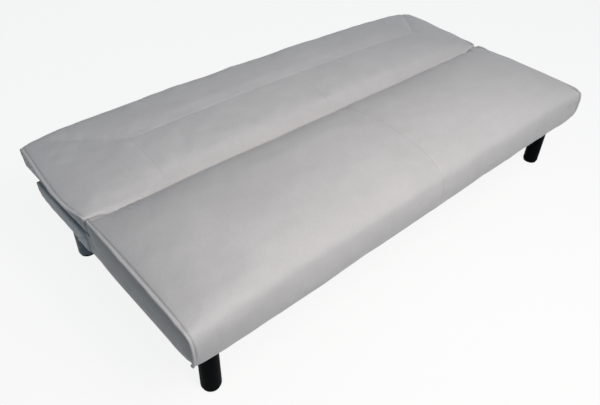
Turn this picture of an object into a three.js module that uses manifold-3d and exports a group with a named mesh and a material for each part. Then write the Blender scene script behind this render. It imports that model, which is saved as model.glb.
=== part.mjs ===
// Click clack sofa bed, laid flat as a bed. Millimetres, +Z up, the front faces -Y.
// The origin is on the floor under the middle of the whole bed.
// The seat stands on four legs and carries a low frame behind it, and the back section
// is hinged at the crease by a ratchet hinge at each end.

import * as THREE from 'three';
import { mergeVertices } from 'three/addons/utils/BufferGeometryUtils.js';
import Module from 'manifold-3d';

const wasm = await Module();
wasm.setup();

// Driving dimensions of the whole bed

const overall_length = 1700;
const overall_depth = 860;
const floor_clearance = 205;
const crease_from_front = 461;
const pivot_above_frame = 110;

// Clearances, the overrun of cuts, and the fineness of round things

const fit_gap = 0.3;
const turning_gap = 0.4;
const cut_overrun = 5;
const round_sides = 24;
const small_round_sides = 16;

// Legs

const leg_radius = 26;
const leg_foot_radius = 27;
const leg_edge_round = 3;
const glide_radius = 24;
const glide_height = 5;
const leg_stud_radius = 4;
const leg_stud_length = 35;
const leg_plate_thickness = 3;
const leg_plate_screw_radius = 4;
const leg_plate_screw_head = 1.5;
const leg_plate_screw_clearance = 1.1;
const leg_plate_edge = 4;
const front_leg_from_end = 75;
const front_leg_from_front = 76;
const rear_leg_from_end = 63;
const rear_leg_from_rear = 140;

// Seat frame, of timber with a plywood deck

const seat_rail_height = 68;
const front_pad_thickness = 30;
const front_rail_thickness = 25;
const side_rail_thickness = 45;
const rear_rail_thickness = 25;
const rear_rail_from_crease = 31;
const centre_rail_width = 40;
const side_rail_past_crease = 27;
const deck_thickness = 12;
const panel_inset = 2;
const leg_block_width = 55;
const leg_block_depth = 55;
const dust_cover_thickness = 1.3;

// Padded boards that close the ends

const end_board_thickness = 9.7;
const back_end_board_thickness = 5.7;
const seat_board_step_gap = 4;
const end_board_lip = 1;

// Low frame behind the seat

const rear_frame_end_inset = 2;
const rear_frame_rear_inset = 55;
const back_above_rear_frame = 26;
const rear_frame_side_thickness = 48;
const rear_frame_rail_thickness = 26;
const rear_frame_board_thickness = 4.7;
const rear_frame_corner_radius = 16;
const rear_leg_block_width = 83;
const rear_leg_block_depth = 60;

// Back frame, of flat timber with a board on it

const back_underside_drop = 39;
const back_lining_thickness = 1.7;
const back_rail_height = 26;
const back_front_rail_from_crease = 31;
const back_rail_width = 45;
const back_side_rail_width = 55;
const back_stile_width = 50;
const back_rear_pad_thickness = 14;
const back_board_thickness = 3;

// Ratchet hinge, one at each end

const plate_thickness = 4;
const hinge_recess_from_end = 15;
const hinge_recess_slack = 8;
const base_plate_front_reach = 201;
const base_plate_foot_height = 7;
const base_plate_front_drop = 11;
const base_plate_shoulder_before = 106;
const base_plate_shoulder_drop = 7;
const base_plate_neck_before = 16;
const base_plate_neck_drop = 17;
const base_plate_rear_reach = 17;
const stop_reach = 69;
const stop_length = 16;
const stop_bar_height = 15;
const stop_bar_gap = 3;
const eye_radius = 10;
const eye_start_angle = -30;
const eye_end_angle = 180;
const pivot_radius = 5;
const rivet_head_radius = 9;
const rivet_head_thickness = 2.7;
const ratchet_radius = 52;
const ratchet_start_angle = -178;
const ratchet_end_angle = -78;
const rim_steps = 30;
const notch_depth = 7;
const notch_angle = 9;
const notch_mouth_share = 0.25;
const arm_reach = 225;
const arm_top_drop = 9;
const pawl_contact_angle = -86;
const pawl_pivot_before_crease = 56;
const pawl_pivot_rise = 36;
const pawl_eye_radius = 8;
const pawl_root_half_width = 6.5;
const pawl_tip_half_width = 2.5;
const pawl_stud_radius = 4;
const pawl_stud_head_radius = 6.5;
const pawl_stud_head_thickness = 2;
const spring_radius = 3;
const spring_wire_radius = 0.5;
const spring_turns = 6;
const spring_from_pawl_pivot = 30;
const spring_out = 4.2;
const spring_seat_rise = 11;
const spring_seat_thickness = 6;
const spring_seat_length = 12;
const spring_seat_reach = 8.5;
const bolt_radius = 4;
const bolt_head_radius = 8;
const bolt_head_thickness = 2.7;
const bolt_length = 30;
const base_bolt_rise = 36;
const base_bolt_from_pawl = 34;
const base_bolt_from_front = 21;
const arm_bolt_from_stop = 20;
const arm_bolt_from_end = 46;

// Work positions reached by the notches, in degrees of back lift from flat

const lounging_lift = 38;
const upright_lift = 72;

// Cushions: how far they rise, and where their tops run.
// A row of a profile gives a place along the depth as a share of it, the height of the
// end seam as a share of the end height, and how much of the crown the middle gets.

const seat_end_height = 125;
const seat_crown = 58;
const seat_crown_power = 4;
const seat_crown_softness = 0.75;
const back_end_height = 79;
const back_crown = 26;
const back_crown_power = 6;
const back_crown_softness = 0.6;
const end_draw = 7;
const cushion_stations = 24;
const profile_steps = 28;
const pocket_past_ratchet = 6;
const pocket_behind_crease = 31;

const seat_profile_shares = [
  [0.022, 0.000, 0.00],
  [0.006, 0.290, 0.00],
  [0.000, 0.520, 0.00],
  [0.006, 0.688, 0.06],
  [0.030, 0.776, 0.21],
  [0.087, 0.840, 0.40],
  [0.195, 0.900, 0.65],
  [0.369, 0.935, 0.93],
  [0.542, 0.950, 1.00],
  [0.716, 0.980, 0.90],
  [0.824, 0.995, 0.72],
  [0.911, 1.000, 0.49],
  [0.957, 0.985, 0.28],
  [0.980, 0.950, 0.08],
  [0.999, 0.864, 0.00],
];

const back_profile_shares = [
  [0.002, 0.468, 0.00],
  [0.035, 0.595, 0.00],
  [0.073, 0.660, 0.25],
  [0.120, 0.734, 0.60],
  [0.248, 0.823, 0.75],
  [0.353, 0.886, 0.85],
  [0.500, 0.949, 0.92],
  [0.675, 1.000, 0.93],
  [0.850, 1.000, 0.96],
  [0.940, 0.975, 1.00],
  [0.978, 0.924, 1.00],
  [0.995, 0.820, 0.92],
  [1.000, 0.660, 0.77],
  [1.000, 0.280, 0.05],
  [0.995, 0.020, 0.00],
];

// Places worked out from the sizes above

const half_length = overall_length / 2;
const front_y = -overall_depth / 2;
const rear_y = overall_depth / 2;
const crease_y = front_y + crease_from_front;
const rail_bottom = floor_clearance;
const rail_top = rail_bottom + seat_rail_height;
const pivot_height = rail_bottom + pivot_above_frame;
const deck_bottom = rail_top + fit_gap;
const deck_top = deck_bottom + deck_thickness;
const board_inner_x = half_length - end_board_thickness;
const frame_end_x = board_inner_x - fit_gap;
const rail_inner_x = frame_end_x - side_rail_thickness;
const recess_x = frame_end_x - hinge_recess_from_end;
const front_rail_y = front_y + front_pad_thickness;
const front_rail_rear_y = front_rail_y + front_rail_thickness;
const rear_rail_y = crease_y - rear_rail_from_crease;
const rear_rail_rear_y = rear_rail_y + rear_rail_thickness;
const side_rail_rear_y = crease_y + side_rail_past_crease;
const deck_notch_y = crease_y - base_plate_shoulder_before;
const back_underside = pivot_height - back_underside_drop;
const rear_board_top = back_underside - back_above_rear_frame;
const rear_board_bottom = rear_board_top - rear_frame_board_thickness;
const rear_frame_y = rear_y - rear_frame_rear_inset;

const base_plate_x = recess_x + fit_gap;
const base_plate_outer_x = base_plate_x + plate_thickness;
const arm_x = base_plate_outer_x + turning_gap;
const arm_outer_x = arm_x + plate_thickness;
const arm_seat_x = arm_x - fit_gap;
const rivet_inner_x = base_plate_x - fit_gap;
const rivet_outer_x = arm_outer_x + fit_gap;
const pawl_pivot = [crease_y - pawl_pivot_before_crease, rail_bottom + pawl_pivot_rise];

// Helpers: plain solids, cuts and mirrored copies

const depthIsX = new THREE.Matrix4().set(0, 0, 1, 0, 1, 0, 0, 0, 0, 1, 0, 0, 0, 0, 0, 1);

function box(x, y, z) {
  const geometry = new THREE.BoxGeometry(x[1] - x[0], y[1] - y[0], z[1] - z[0]);
  return geometry.translate((x[0] + x[1]) / 2, (y[0] + y[1]) / 2, (z[0] + z[1]) / 2);
}

// An outline of [y, z] points, run along X from one place to another.
function prismX(outline, x, holes = []) {
  const shape = new THREE.Shape(outline.map(([y, z]) => new THREE.Vector2(y, z)));
  shape.holes = holes.map((hole) => new THREE.Path(hole.map(([y, z]) => new THREE.Vector2(y, z))));
  const depth = x[1] - x[0];
  const geometry = new THREE.ExtrudeGeometry(shape, { depth, bevelEnabled: false, steps: 1 });
  return geometry.applyMatrix4(depthIsX).translate(x[0], 0, 0);
}

// An outline of [x, y] points, run up from one height to another.
function prismZ(outline, z) {
  const shape = new THREE.Shape(outline.map(([x, y]) => new THREE.Vector2(x, y)));
  const depth = z[1] - z[0];
  const geometry = new THREE.ExtrudeGeometry(shape, { depth, bevelEnabled: false, steps: 1 });
  return geometry.translate(0, 0, z[0]);
}

function circle([y, z], radius, sides = round_sides) {
  const points = [];
  for (let i = 0; i < sides; i += 1) {
    const angle = (2 * Math.PI * i) / sides;
    points.push([y + radius * Math.cos(angle), z + radius * Math.sin(angle)]);
  }
  return points;
}

function arc([y, z], radius, from, to, steps) {
  const points = [];
  for (let i = 0; i <= steps; i += 1) {
    const angle = THREE.MathUtils.degToRad(from + ((to - from) * i) / steps);
    points.push([y + radius * Math.cos(angle), z + radius * Math.sin(angle)]);
  }
  return points;
}

function discX(centre, radius, x, sides = round_sides) {
  return prismX(circle(centre, radius, sides), x);
}

function solidOf(geometry) {
  const bare = geometry.clone();
  bare.deleteAttribute('normal');
  bare.deleteAttribute('uv');
  const merged = mergeVertices(bare);
  return new wasm.Manifold(new wasm.Mesh({
    numProp: 3,
    vertProperties: new Float32Array(merged.attributes.position.array),
    triVerts: new Uint32Array(merged.index.array),
  }));
}

function geometryOf(solid) {
  const mesh = solid.getMesh();
  const geometry = new THREE.BufferGeometry();
  const places = new Float32Array(mesh.vertProperties);
  geometry.setAttribute('position', new THREE.BufferAttribute(places, 3));
  geometry.setIndex(Array.from(mesh.triVerts));
  return geometry;
}

function joined(...geometries) {
  return geometryOf(geometries.map(solidOf).reduce((all, next) => all.add(next)));
}

function cut(geometry, ...tools) {
  return geometryOf(tools.map(solidOf).reduce((left, tool) => left.subtract(tool), solidOf(geometry)));
}

// The same solid at the other end of the bed, with its faces still pointing out.
function mirrored(geometry) {
  const copy = (geometry.index ? geometry : mergeVertices(geometry)).clone();
  copy.scale(-1, 1, 1);
  const order = copy.index.array;
  for (let i = 0; i < order.length; i += 3) {
    [order[i + 1], order[i + 2]] = [order[i + 2], order[i + 1]];
  }
  return copy;
}

// Materials, with the finishes that the real pieces have

const finish = (color, roughness, metalness) => new THREE.MeshStandardMaterial({ color, roughness, metalness });
const leatherette = finish(0xbfbdbe, 0.5, 0);
const end_leatherette = finish(0xa6a7ad, 0.5, 0);
const lining_cloth = finish(0x2c2d30, 0.9, 0);
const timber = finish(0xc9a775, 0.7, 0);
const plywood = finish(0xb8925f, 0.7, 0);
const hardboard = finish(0x6d5038, 0.8, 0);
const black_leg = finish(0x0c0e0f, 0.35, 0);
const rear_leg_paint = finish(0x5c5d60, 0.5, 0);
const black_plastic = finish(0x080909, 0.6, 0);
const zinc_plate = finish(0xa9acb0, 0.4, 0.9);
const black_steel = finish(0x1d1f21, 0.45, 0.8);
const spring_steel = finish(0x8d9094, 0.3, 0.9);

const sofa_bed = new THREE.Group();

function add(name, geometry, material) {
  const mesh = new THREE.Mesh(geometry, material);
  mesh.name = name;
  sofa_bed.add(mesh);
}

function addPair(name, geometry, material, suffix = '') {
  add(`${name}_right${suffix}`, geometry, material);
  add(`${name}_left${suffix}`, mirrored(geometry), material);
}

// Cushion profiles

// The outer line of a cushion across the bed, at a given rise of the crown.
function profileLine(rows, start, size, rise) {
  const points = rows.map(([along, up, crown]) => new THREE.Vector3(
    0,
    start[0] + along * size[0],
    start[1] + up * size[1] + crown * rise,
  ));
  const kept = (y) => THREE.MathUtils.clamp(y, start[0], start[0] + size[0]);
  return new THREE.CatmullRomCurve3(points).getPoints(profile_steps).map((point) => [kept(point.y), point.z]);
}

function crownAt(t, power, softness) {
  return (1 - Math.abs(t) ** power) ** softness;
}

// A closed skin through loops of points that follow one another along the bed.
function loft(loops) {
  const around = loops[0].length;
  const position = loops.flat(2);
  const index = [];
  for (let s = 0; s + 1 < loops.length; s += 1) {
    for (let i = 0; i < around; i += 1) {
      const here = s * around + i;
      const next = s * around + ((i + 1) % around);
      index.push(here, next, here + around, next, next + around, here + around);
    }
  }
  for (const [s, flip] of [[0, true], [loops.length - 1, false]]) {
    const outline = loops[s].map(([, y, z]) => new THREE.Vector2(y, z));
    for (const [a, b, c] of THREE.ShapeUtils.triangulateShape(outline, [])) {
      const face = flip ? [a, c, b] : [a, b, c];
      index.push(...face.map((i) => s * around + i));
    }
  }
  const geometry = new THREE.BufferGeometry();
  geometry.setAttribute('position', new THREE.BufferAttribute(new Float32Array(position), 3));
  geometry.setIndex(index);
  return geometry;
}

// Loops are counter-clockwise in the Y-Z plane, so that the skin's faces point out.
function cushion(line_at, inner_line, end_x, power, softness) {
  const loops = [];
  for (let s = 0; s <= cushion_stations; s += 1) {
    const t = Math.sin((Math.PI / 2) * ((2 * s) / cushion_stations - 1));
    const line = [...line_at(crownAt(t, power, softness)), ...inner_line];
    const low = Math.min(...line.map(([y]) => y));
    const high = Math.max(...line.map(([y]) => y));
    const draw = (y) => end_draw * (1 - Math.sin((Math.PI * (y - low)) / (high - low)));
    const loop = line.map(([y, z]) => [t * (end_x - draw(y)), y, z]);
    const turn = THREE.ShapeUtils.area(line.map(([y, z]) => new THREE.Vector2(y, z)));
    loops.push(turn > 0 ? loop : loop.reverse());
  }
  return loft(loops);
}

// Seat cushion: a crowned pad whose front rolls down over the front rail

const cushion_end_x = board_inner_x - fit_gap;
const seat_cushion_bottom = deck_top + fit_gap;
const seat_rear_y = crease_y - fit_gap;
const seat_depth = seat_rear_y - front_y;
const seat_skirt_bottom = rail_bottom;
const seat_line = (crown) => profileLine(
  seat_profile_shares, [front_y, seat_skirt_bottom], [seat_depth, seat_end_height], crown * seat_crown,
);
const seat_inner_line = [
  [seat_rear_y, seat_cushion_bottom],
  [front_rail_y - fit_gap, seat_cushion_bottom],
  [front_rail_y - fit_gap, seat_skirt_bottom],
];
const pocket_x = half_length + cut_overrun;
const pocket_inner_x = rivet_inner_x - rivet_head_thickness - fit_gap;
const pocket_before_y = crease_y - ratchet_radius - pocket_past_ratchet;
const pocket_z = [back_underside - cut_overrun, pivot_height + seat_crown + back_crown];

function withPockets(geometry, y) {
  const pocket = box([pocket_inner_x, pocket_x], y, pocket_z);
  return cut(geometry, pocket, mirrored(pocket));
}

const seat_cushion = cushion(seat_line, seat_inner_line, cushion_end_x, seat_crown_power, seat_crown_softness);
const seat_pocket_y = [pocket_before_y, crease_y + cut_overrun];
add('seat_cushion', withPockets(seat_cushion, seat_pocket_y), leatherette);

// Back cushion: a crowned pad whose rear rolls down over the rear rail

const back_front_y = crease_y + fit_gap;
const back_depth = rear_y - back_front_y;
const back_rail_bottom = back_underside + back_lining_thickness + fit_gap;
const back_rail_top = back_rail_bottom + back_rail_height;
const back_board_bottom = back_rail_top + fit_gap;
const back_cushion_bottom = back_board_bottom + back_board_thickness + fit_gap;
const back_rail_rear_y = rear_y - back_rear_pad_thickness;
const back_line = (crown) => profileLine(
  back_profile_shares, [back_front_y, back_rail_bottom], [back_depth, back_end_height], crown * back_crown,
);
const back_inner_line = [
  [back_rail_rear_y + fit_gap, back_rail_bottom],
  [back_rail_rear_y + fit_gap, back_cushion_bottom],
  [back_front_y, back_cushion_bottom],
];
const back_cushion = cushion(back_line, back_inner_line, cushion_end_x, back_crown_power, back_crown_softness);
const back_pocket_y = [crease_y - cut_overrun, crease_y + pocket_behind_crease];
add('back_cushion', withPockets(back_cushion, back_pocket_y), leatherette);

// Seat frame

const rail_z = [rail_bottom, rail_top];
add('seat_front_rail', box([-frame_end_x, frame_end_x], [front_rail_y, front_rail_rear_y], rail_z), timber);

const between_side_rails = [-rail_inner_x + fit_gap, rail_inner_x - fit_gap];
add('seat_rear_rail', box(between_side_rails, [rear_rail_y, rear_rail_rear_y], rail_z), timber);

const centre_rail_x = [-centre_rail_width / 2, centre_rail_width / 2];
const centre_rail_y = [front_rail_rear_y + fit_gap, rear_rail_y - fit_gap];
add('seat_centre_rail', box(centre_rail_x, centre_rail_y, rail_z), timber);

const base_bolt_z = rail_bottom + base_bolt_rise;
const base_bolt_places = [
  [pawl_pivot[0] - base_bolt_from_pawl, base_bolt_z],
  [crease_y - base_plate_front_reach + base_bolt_from_front, base_bolt_z],
];
const bolt_hole_radius = bolt_radius + fit_gap;
const side_rail_y = [front_rail_rear_y + fit_gap, side_rail_rear_y];
const through_rail_x = [rail_inner_x - cut_overrun, frame_end_x + cut_overrun];
const side_rail = cut(
  box([rail_inner_x, frame_end_x], side_rail_y, rail_z),
  box(
    [recess_x, frame_end_x + cut_overrun],
    [crease_y - base_plate_front_reach - hinge_recess_slack, side_rail_rear_y + cut_overrun],
    [rail_bottom - cut_overrun, rail_top + cut_overrun],
  ),
  ...base_bolt_places.map((place) => discX(place, bolt_hole_radius, through_rail_x, small_round_sides)),
);
addPair('seat_side_rail', side_rail, timber);

const deck_x = frame_end_x - panel_inset;
const deck_notch_x = recess_x - fit_gap;
const deck_y = [front_rail_y + panel_inset, crease_y - panel_inset];
const deck_half = [
  [deck_x, deck_y[0]],
  [deck_x, deck_notch_y],
  [deck_notch_x, deck_notch_y],
  [deck_notch_x, deck_y[1]],
];
const mirroredOutline = (half) => [...half, ...half.map(([x, y]) => [-x, y]).reverse()];
add('seat_deck', prismZ(mirroredOutline(deck_half), [deck_bottom, deck_top]), plywood);

// Legs, with their plates, glides and the blocks that they screw into

const front_leg_x = half_length - front_leg_from_end;
const front_leg_y = front_y + front_leg_from_front;
const rear_leg_x = half_length - rear_leg_from_end;
const rear_leg_y = rear_y - rear_leg_from_rear;
const leg_plate_top = rail_bottom - fit_gap;
const leg_plate_bottom = leg_plate_top - leg_plate_thickness;
const leg_top = leg_plate_bottom - fit_gap;
const leg_bottom = glide_height + fit_gap;
const stud_top = leg_top + leg_stud_length;
const stud_hole_radius = leg_stud_radius + fit_gap;

function turned(outline, sides = round_sides) {
  const points = outline.map(([radius, z]) => new THREE.Vector2(radius, z));
  return new THREE.LatheGeometry(points, sides).rotateX(Math.PI / 2);
}

const leg = turned([
  [0, leg_bottom],
  [leg_foot_radius - leg_edge_round, leg_bottom],
  [leg_foot_radius, leg_bottom + leg_edge_round],
  [leg_radius, leg_top],
  [leg_stud_radius, leg_top],
  [leg_stud_radius, stud_top],
  [0, stud_top],
]);
const glide = turned([[0, 0], [glide_radius, 0], [glide_radius, glide_height], [0, glide_height]]);

function studHole(x, y, z) {
  const hole = new THREE.CylinderGeometry(stud_hole_radius, stud_hole_radius, z[1] - z[0], small_round_sides);
  return hole.rotateX(Math.PI / 2).translate(x, y, (z[0] + z[1]) / 2);
}

const screw_from_leg_axis = leg_radius + leg_plate_screw_radius + leg_plate_screw_clearance;
const screw_at = screw_from_leg_axis / Math.SQRT2;
const leg_plate_half = screw_at + leg_plate_screw_radius + leg_plate_edge;

function legPlate() {
  const sides = [-leg_plate_half, leg_plate_half];
  const plate = box(sides, sides, [leg_plate_bottom, leg_plate_top]);
  const head_height = leg_plate_screw_head + leg_plate_thickness;
  const heads = [];
  for (const [sx, sy] of [[1, 1], [1, -1], [-1, 1], [-1, -1]]) {
    const head = new THREE.CylinderGeometry(
      leg_plate_screw_radius, leg_plate_screw_radius, head_height, small_round_sides,
    );
    const middle = leg_plate_top - head_height / 2;
    heads.push(head.rotateX(Math.PI / 2).translate(sx * screw_at, sy * screw_at, middle));
  }
  const leg_seat = studHole(0, 0, [leg_plate_bottom - cut_overrun, leg_plate_top + cut_overrun]);
  return cut(joined(plate, ...heads), leg_seat);
}

const leg_plate = legPlate();

for (const [place, x, y, paint] of [
  ['front', front_leg_x, front_leg_y, black_leg],
  ['rear', rear_leg_x, rear_leg_y, rear_leg_paint],
]) {
  addPair(`${place}_leg`, leg.clone().translate(x, y, 0), paint);
  addPair(`${place}_leg_glide`, glide.clone().translate(x, y, 0), black_plastic);
  addPair(`${place}_leg_plate`, leg_plate.clone().translate(x, y, 0), black_steel);
}

const leg_block_x = [rail_inner_x - fit_gap - leg_block_width, rail_inner_x - fit_gap];
const leg_block_y = [front_rail_rear_y + fit_gap, front_rail_rear_y + fit_gap + leg_block_depth];
const through_rails_z = [rail_bottom - cut_overrun, rail_top + cut_overrun];
const leg_block = cut(box(leg_block_x, leg_block_y, rail_z), studHole(front_leg_x, front_leg_y, through_rails_z));
addPair('seat_leg_block', leg_block, timber);

// Low frame behind the seat, which carries the rear legs

const rear_frame_x = half_length - rear_frame_end_inset;
const rear_frame_top = rear_board_bottom - fit_gap;
const rear_frame_z = [rail_bottom, rear_frame_top];
const rear_rail_inner_y = rear_frame_y - rear_frame_rail_thickness;
const rear_frame_inner_x = rear_frame_x - rear_frame_side_thickness;
const rear_block_inner_x = rear_frame_x - rear_leg_block_width;
const rear_block_y = [rear_leg_y - rear_leg_block_depth / 2, rear_leg_y + rear_leg_block_depth / 2];
const rear_frame_start_y = side_rail_rear_y + fit_gap;
const rear_side = prismZ([
  [rear_frame_inner_x, rear_frame_start_y],
  [rear_frame_x, rear_frame_start_y],
  [rear_frame_x, rear_rail_inner_y - fit_gap],
  [rear_frame_inner_x, rear_rail_inner_y - fit_gap],
  [rear_frame_inner_x, rear_block_y[1]],
  [rear_block_inner_x, rear_block_y[1]],
  [rear_block_inner_x, rear_block_y[0]],
  [rear_frame_inner_x, rear_block_y[0]],
], rear_frame_z);
addPair('rear_frame_side', cut(rear_side, studHole(rear_leg_x, rear_leg_y, through_rails_z)), timber);

const corner_centre = [rear_frame_y - rear_frame_corner_radius, rail_bottom + rear_frame_corner_radius];
const rear_frame_rail = prismX([
  [rear_rail_inner_y, rail_bottom],
  ...arc(corner_centre, rear_frame_corner_radius, -90, 0, round_sides / 4),
  [rear_frame_y, rear_frame_top],
  [rear_rail_inner_y, rear_frame_top],
], [-rear_frame_x, rear_frame_x]);
add('rear_frame_rail', rear_frame_rail, timber);

const rear_board_x = [-rear_frame_x, rear_frame_x];
const rear_board_y = [rear_frame_start_y, rear_frame_y];
add('rear_frame_board', box(rear_board_x, rear_board_y, [rear_board_bottom, rear_board_top]), hardboard);

// Dust cover under both frames, cut out round the leg plates

const cover_z = [rail_bottom - fit_gap - dust_cover_thickness, rail_bottom - fit_gap];
const plate_clear = leg_plate_half + panel_inset;
const cover_x = frame_end_x - panel_inset;
const cover_half = [
  [front_leg_x - plate_clear, front_rail_y + panel_inset],
  [front_leg_x - plate_clear, front_leg_y + plate_clear],
  [cover_x, front_leg_y + plate_clear],
  [cover_x, rear_leg_y - plate_clear],
  [rear_leg_x - plate_clear, rear_leg_y - plate_clear],
  [rear_leg_x - plate_clear, rear_rail_inner_y],
];
add('dust_cover', prismZ(mirroredOutline(cover_half), cover_z), lining_cloth);

// Back frame

const back_rail_y = crease_y + back_front_rail_from_crease;
const back_rail_z = [back_rail_bottom, back_rail_top];
const back_side_inner_x = frame_end_x - back_side_rail_width;
const between_back_sides = [-back_side_inner_x + fit_gap, back_side_inner_x - fit_gap];
const back_front_rail_rear_y = back_rail_y + back_rail_width;
const back_rear_rail_y = back_rail_rear_y - back_rail_width;
add('back_front_rail', box(between_back_sides, [back_rail_y, back_front_rail_rear_y], back_rail_z), timber);
add('back_rear_rail', box(between_back_sides, [back_rear_rail_y, back_rail_rear_y], back_rail_z), timber);

const stile_x = [-back_stile_width / 2, back_stile_width / 2];
const stile_y = [back_front_rail_rear_y + fit_gap, back_rear_rail_y - fit_gap];
add('back_centre_stile', box(stile_x, stile_y, back_rail_z), timber);

const arm_bolt_z = (back_rail_bottom + back_rail_top) / 2;
const arm_bolt_places = [
  [crease_y + stop_reach + arm_bolt_from_stop, arm_bolt_z],
  [crease_y + arm_reach - arm_bolt_from_end, arm_bolt_z],
];
const back_side_rail = cut(
  box([back_side_inner_x, frame_end_x], [back_rail_y, back_rail_rear_y], back_rail_z),
  box(
    [arm_seat_x, frame_end_x + cut_overrun],
    [back_rail_y - cut_overrun, crease_y + arm_reach + panel_inset],
    [back_rail_bottom - cut_overrun, back_rail_top + cut_overrun],
  ),
  ...arm_bolt_places.map((place) => discX(
    place, bolt_hole_radius, [back_side_inner_x - cut_overrun, frame_end_x + cut_overrun], small_round_sides,
  )),
);
addPair('back_side_rail', back_side_rail, timber);

const back_board_end_x = recess_x - fit_gap;
const back_board_x = [-back_board_end_x, back_board_end_x];
const back_board_z = [back_board_bottom, back_board_bottom + back_board_thickness];
add('back_board', box(back_board_x, [back_rail_y, back_rail_rear_y], back_board_z), hardboard);

const back_lining_y = [crease_y + panel_inset, back_rail_rear_y];
const back_lining_z = [back_underside, back_underside + back_lining_thickness];
add('back_lining', box(back_board_x, back_lining_y, back_lining_z), lining_cloth);

// Padded end boards, whose tops follow the cushions' end seams

const board_line = (line) => line.map(([y, z]) => [y, z - end_board_lip]);
const seat_board_rear_y = seat_rear_y - end_board_lip;
const seat_board_step_z = back_underside - seat_board_step_gap;
const seat_board_outline = [
  [side_rail_rear_y, rail_bottom],
  [side_rail_rear_y, seat_board_step_z],
  [seat_board_rear_y, seat_board_step_z],
  ...board_line(seat_line(0)).reverse().filter(([y, z]) => y < seat_board_rear_y && z > rail_bottom),
  [front_y + seat_profile_shares[0][0] * seat_depth, rail_bottom],
];
addPair('seat_end_board', prismX(seat_board_outline.reverse(), [board_inner_x, half_length]), end_leatherette);

const back_board_outer_x = board_inner_x + back_end_board_thickness;
const back_board_front_y = back_front_y + end_board_lip;
const back_board_outline = [
  [back_board_front_y, back_underside],
  ...board_line(back_line(0)).filter(([y, z]) => y > back_board_front_y && z > back_underside + end_board_lip),
  [rear_y - end_board_lip, back_underside],
];
const back_end_x = [board_inner_x, back_board_outer_x];
addPair('back_end_board', prismX(back_board_outline.reverse(), back_end_x), end_leatherette);

// Ratchet hinge: fixed plate, swinging arm with the notched rim, pivot rivet, pawl and spring

const pivot = [crease_y, pivot_height];
const pivot_hole_radius = pivot_radius + fit_gap;
const base_plate_z = rail_bottom + base_plate_foot_height;
const stop_bottom = rear_board_top + stop_bar_gap;
const stop_top = back_underside;
const plate_rear_y = crease_y + base_plate_rear_reach;
const base_plate_outline = [
  [crease_y - base_plate_front_reach, base_plate_z],
  [plate_rear_y, base_plate_z],
  [plate_rear_y, stop_bottom],
  [crease_y + stop_reach, stop_bottom],
  [crease_y + stop_reach, stop_bottom + stop_bar_height],
  [plate_rear_y, stop_bottom + stop_bar_height],
  ...arc(pivot, eye_radius, eye_start_angle, eye_end_angle, round_sides / 2),
  [crease_y - base_plate_neck_before, pivot_height - base_plate_neck_drop],
  [pocket_before_y, deck_top],
  [deck_notch_y, rail_top - base_plate_shoulder_drop],
  [crease_y - base_plate_front_reach, rail_top - base_plate_front_drop],
];
const spring_y = pawl_pivot[0] + spring_from_pawl_pivot;
const contact_angle = THREE.MathUtils.degToRad(pawl_contact_angle);
const tip_radius = ratchet_radius + fit_gap;
const pawl_tip = [
  pivot[0] + tip_radius * Math.cos(contact_angle),
  pivot[1] + tip_radius * Math.sin(contact_angle),
];
const pawl_run = [pawl_tip[0] - pawl_pivot[0], pawl_tip[1] - pawl_pivot[1]];
const pawl_length = Math.hypot(...pawl_run);
const pawl_slope = pawl_run[1] / pawl_run[0];
const pawl_lean = Math.atan(pawl_slope);

// A place on the pawl, given along its middle line and across it, upward.
function onPawl(along, across) {
  return [
    pawl_pivot[0] + along * Math.cos(pawl_lean) - across * Math.sin(pawl_lean),
    pawl_pivot[1] + along * Math.sin(pawl_lean) + across * Math.cos(pawl_lean),
  ];
}

const under_pawl_at_spring = onPawl(spring_from_pawl_pivot - spring_radius, -pawl_root_half_width)[1];
const spring_top = under_pawl_at_spring - fit_gap;
const spring_seat_z = base_plate_z + spring_seat_rise;
const spring_height = spring_top - spring_seat_z - fit_gap;
const pawl_stud_outer_x = arm_outer_x + fit_gap + pawl_stud_head_thickness;
const base_plate = cut(
  joined(
    prismX(base_plate_outline, [base_plate_x, base_plate_outer_x]),
    box(
      [base_plate_outer_x - fit_gap, arm_outer_x],
      [crease_y + stop_reach - stop_length, crease_y + stop_reach],
      [stop_bottom, stop_top],
    ),
    box(
      [base_plate_x, base_plate_outer_x],
      [crease_y + stop_reach - stop_length, crease_y + stop_reach],
      [stop_bottom, stop_top],
    ),
    box(
      [base_plate_outer_x - fit_gap, base_plate_outer_x + spring_seat_reach],
      [spring_y - spring_seat_length / 2, spring_y + spring_seat_length / 2],
      [spring_seat_z - spring_seat_thickness, spring_seat_z],
    ),
    discX(pawl_pivot, pawl_stud_radius, [base_plate_x, pawl_stud_outer_x]),
    discX(pawl_pivot, pawl_stud_head_radius, [arm_outer_x + fit_gap, pawl_stud_outer_x]),
  ),
  discX(pivot, pivot_hole_radius, [base_plate_x - cut_overrun, arm_outer_x + cut_overrun]),
  ...base_bolt_places.map((place) => discX(
    place, bolt_hole_radius, [base_plate_x - cut_overrun, base_plate_outer_x + cut_overrun], small_round_sides,
  )),
);
addPair('hinge_base_plate', base_plate, zinc_plate);

const arm_bottom = stop_top + fit_gap;
const arm_z = [arm_bottom, pivot_height - arm_top_drop];
const arm_layer = [arm_x, arm_outer_x];
const through_arm = [arm_x - cut_overrun, arm_outer_x + cut_overrun];
const ratchet_sector = [pivot, ...arc(pivot, ratchet_radius, ratchet_start_angle, ratchet_end_angle, rim_steps)];

// A notch has one face that runs to the pivot and one that slopes out to the rim.
function notch(lift) {
  const angle = pawl_contact_angle - lift;
  const at = (radius, degrees) => arc(pivot, radius, degrees, degrees, 1)[0];
  const outside = ratchet_radius + cut_overrun;
  const bottom = ratchet_radius - notch_depth;
  const half = notch_angle / 2;
  return prismX([
    at(bottom, angle + half * (1 - 2 * notch_mouth_share)),
    at(outside, angle - half - notch_angle * notch_mouth_share),
    at(outside, angle + half),
    at(bottom, angle + half),
  ], through_arm);
}

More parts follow.
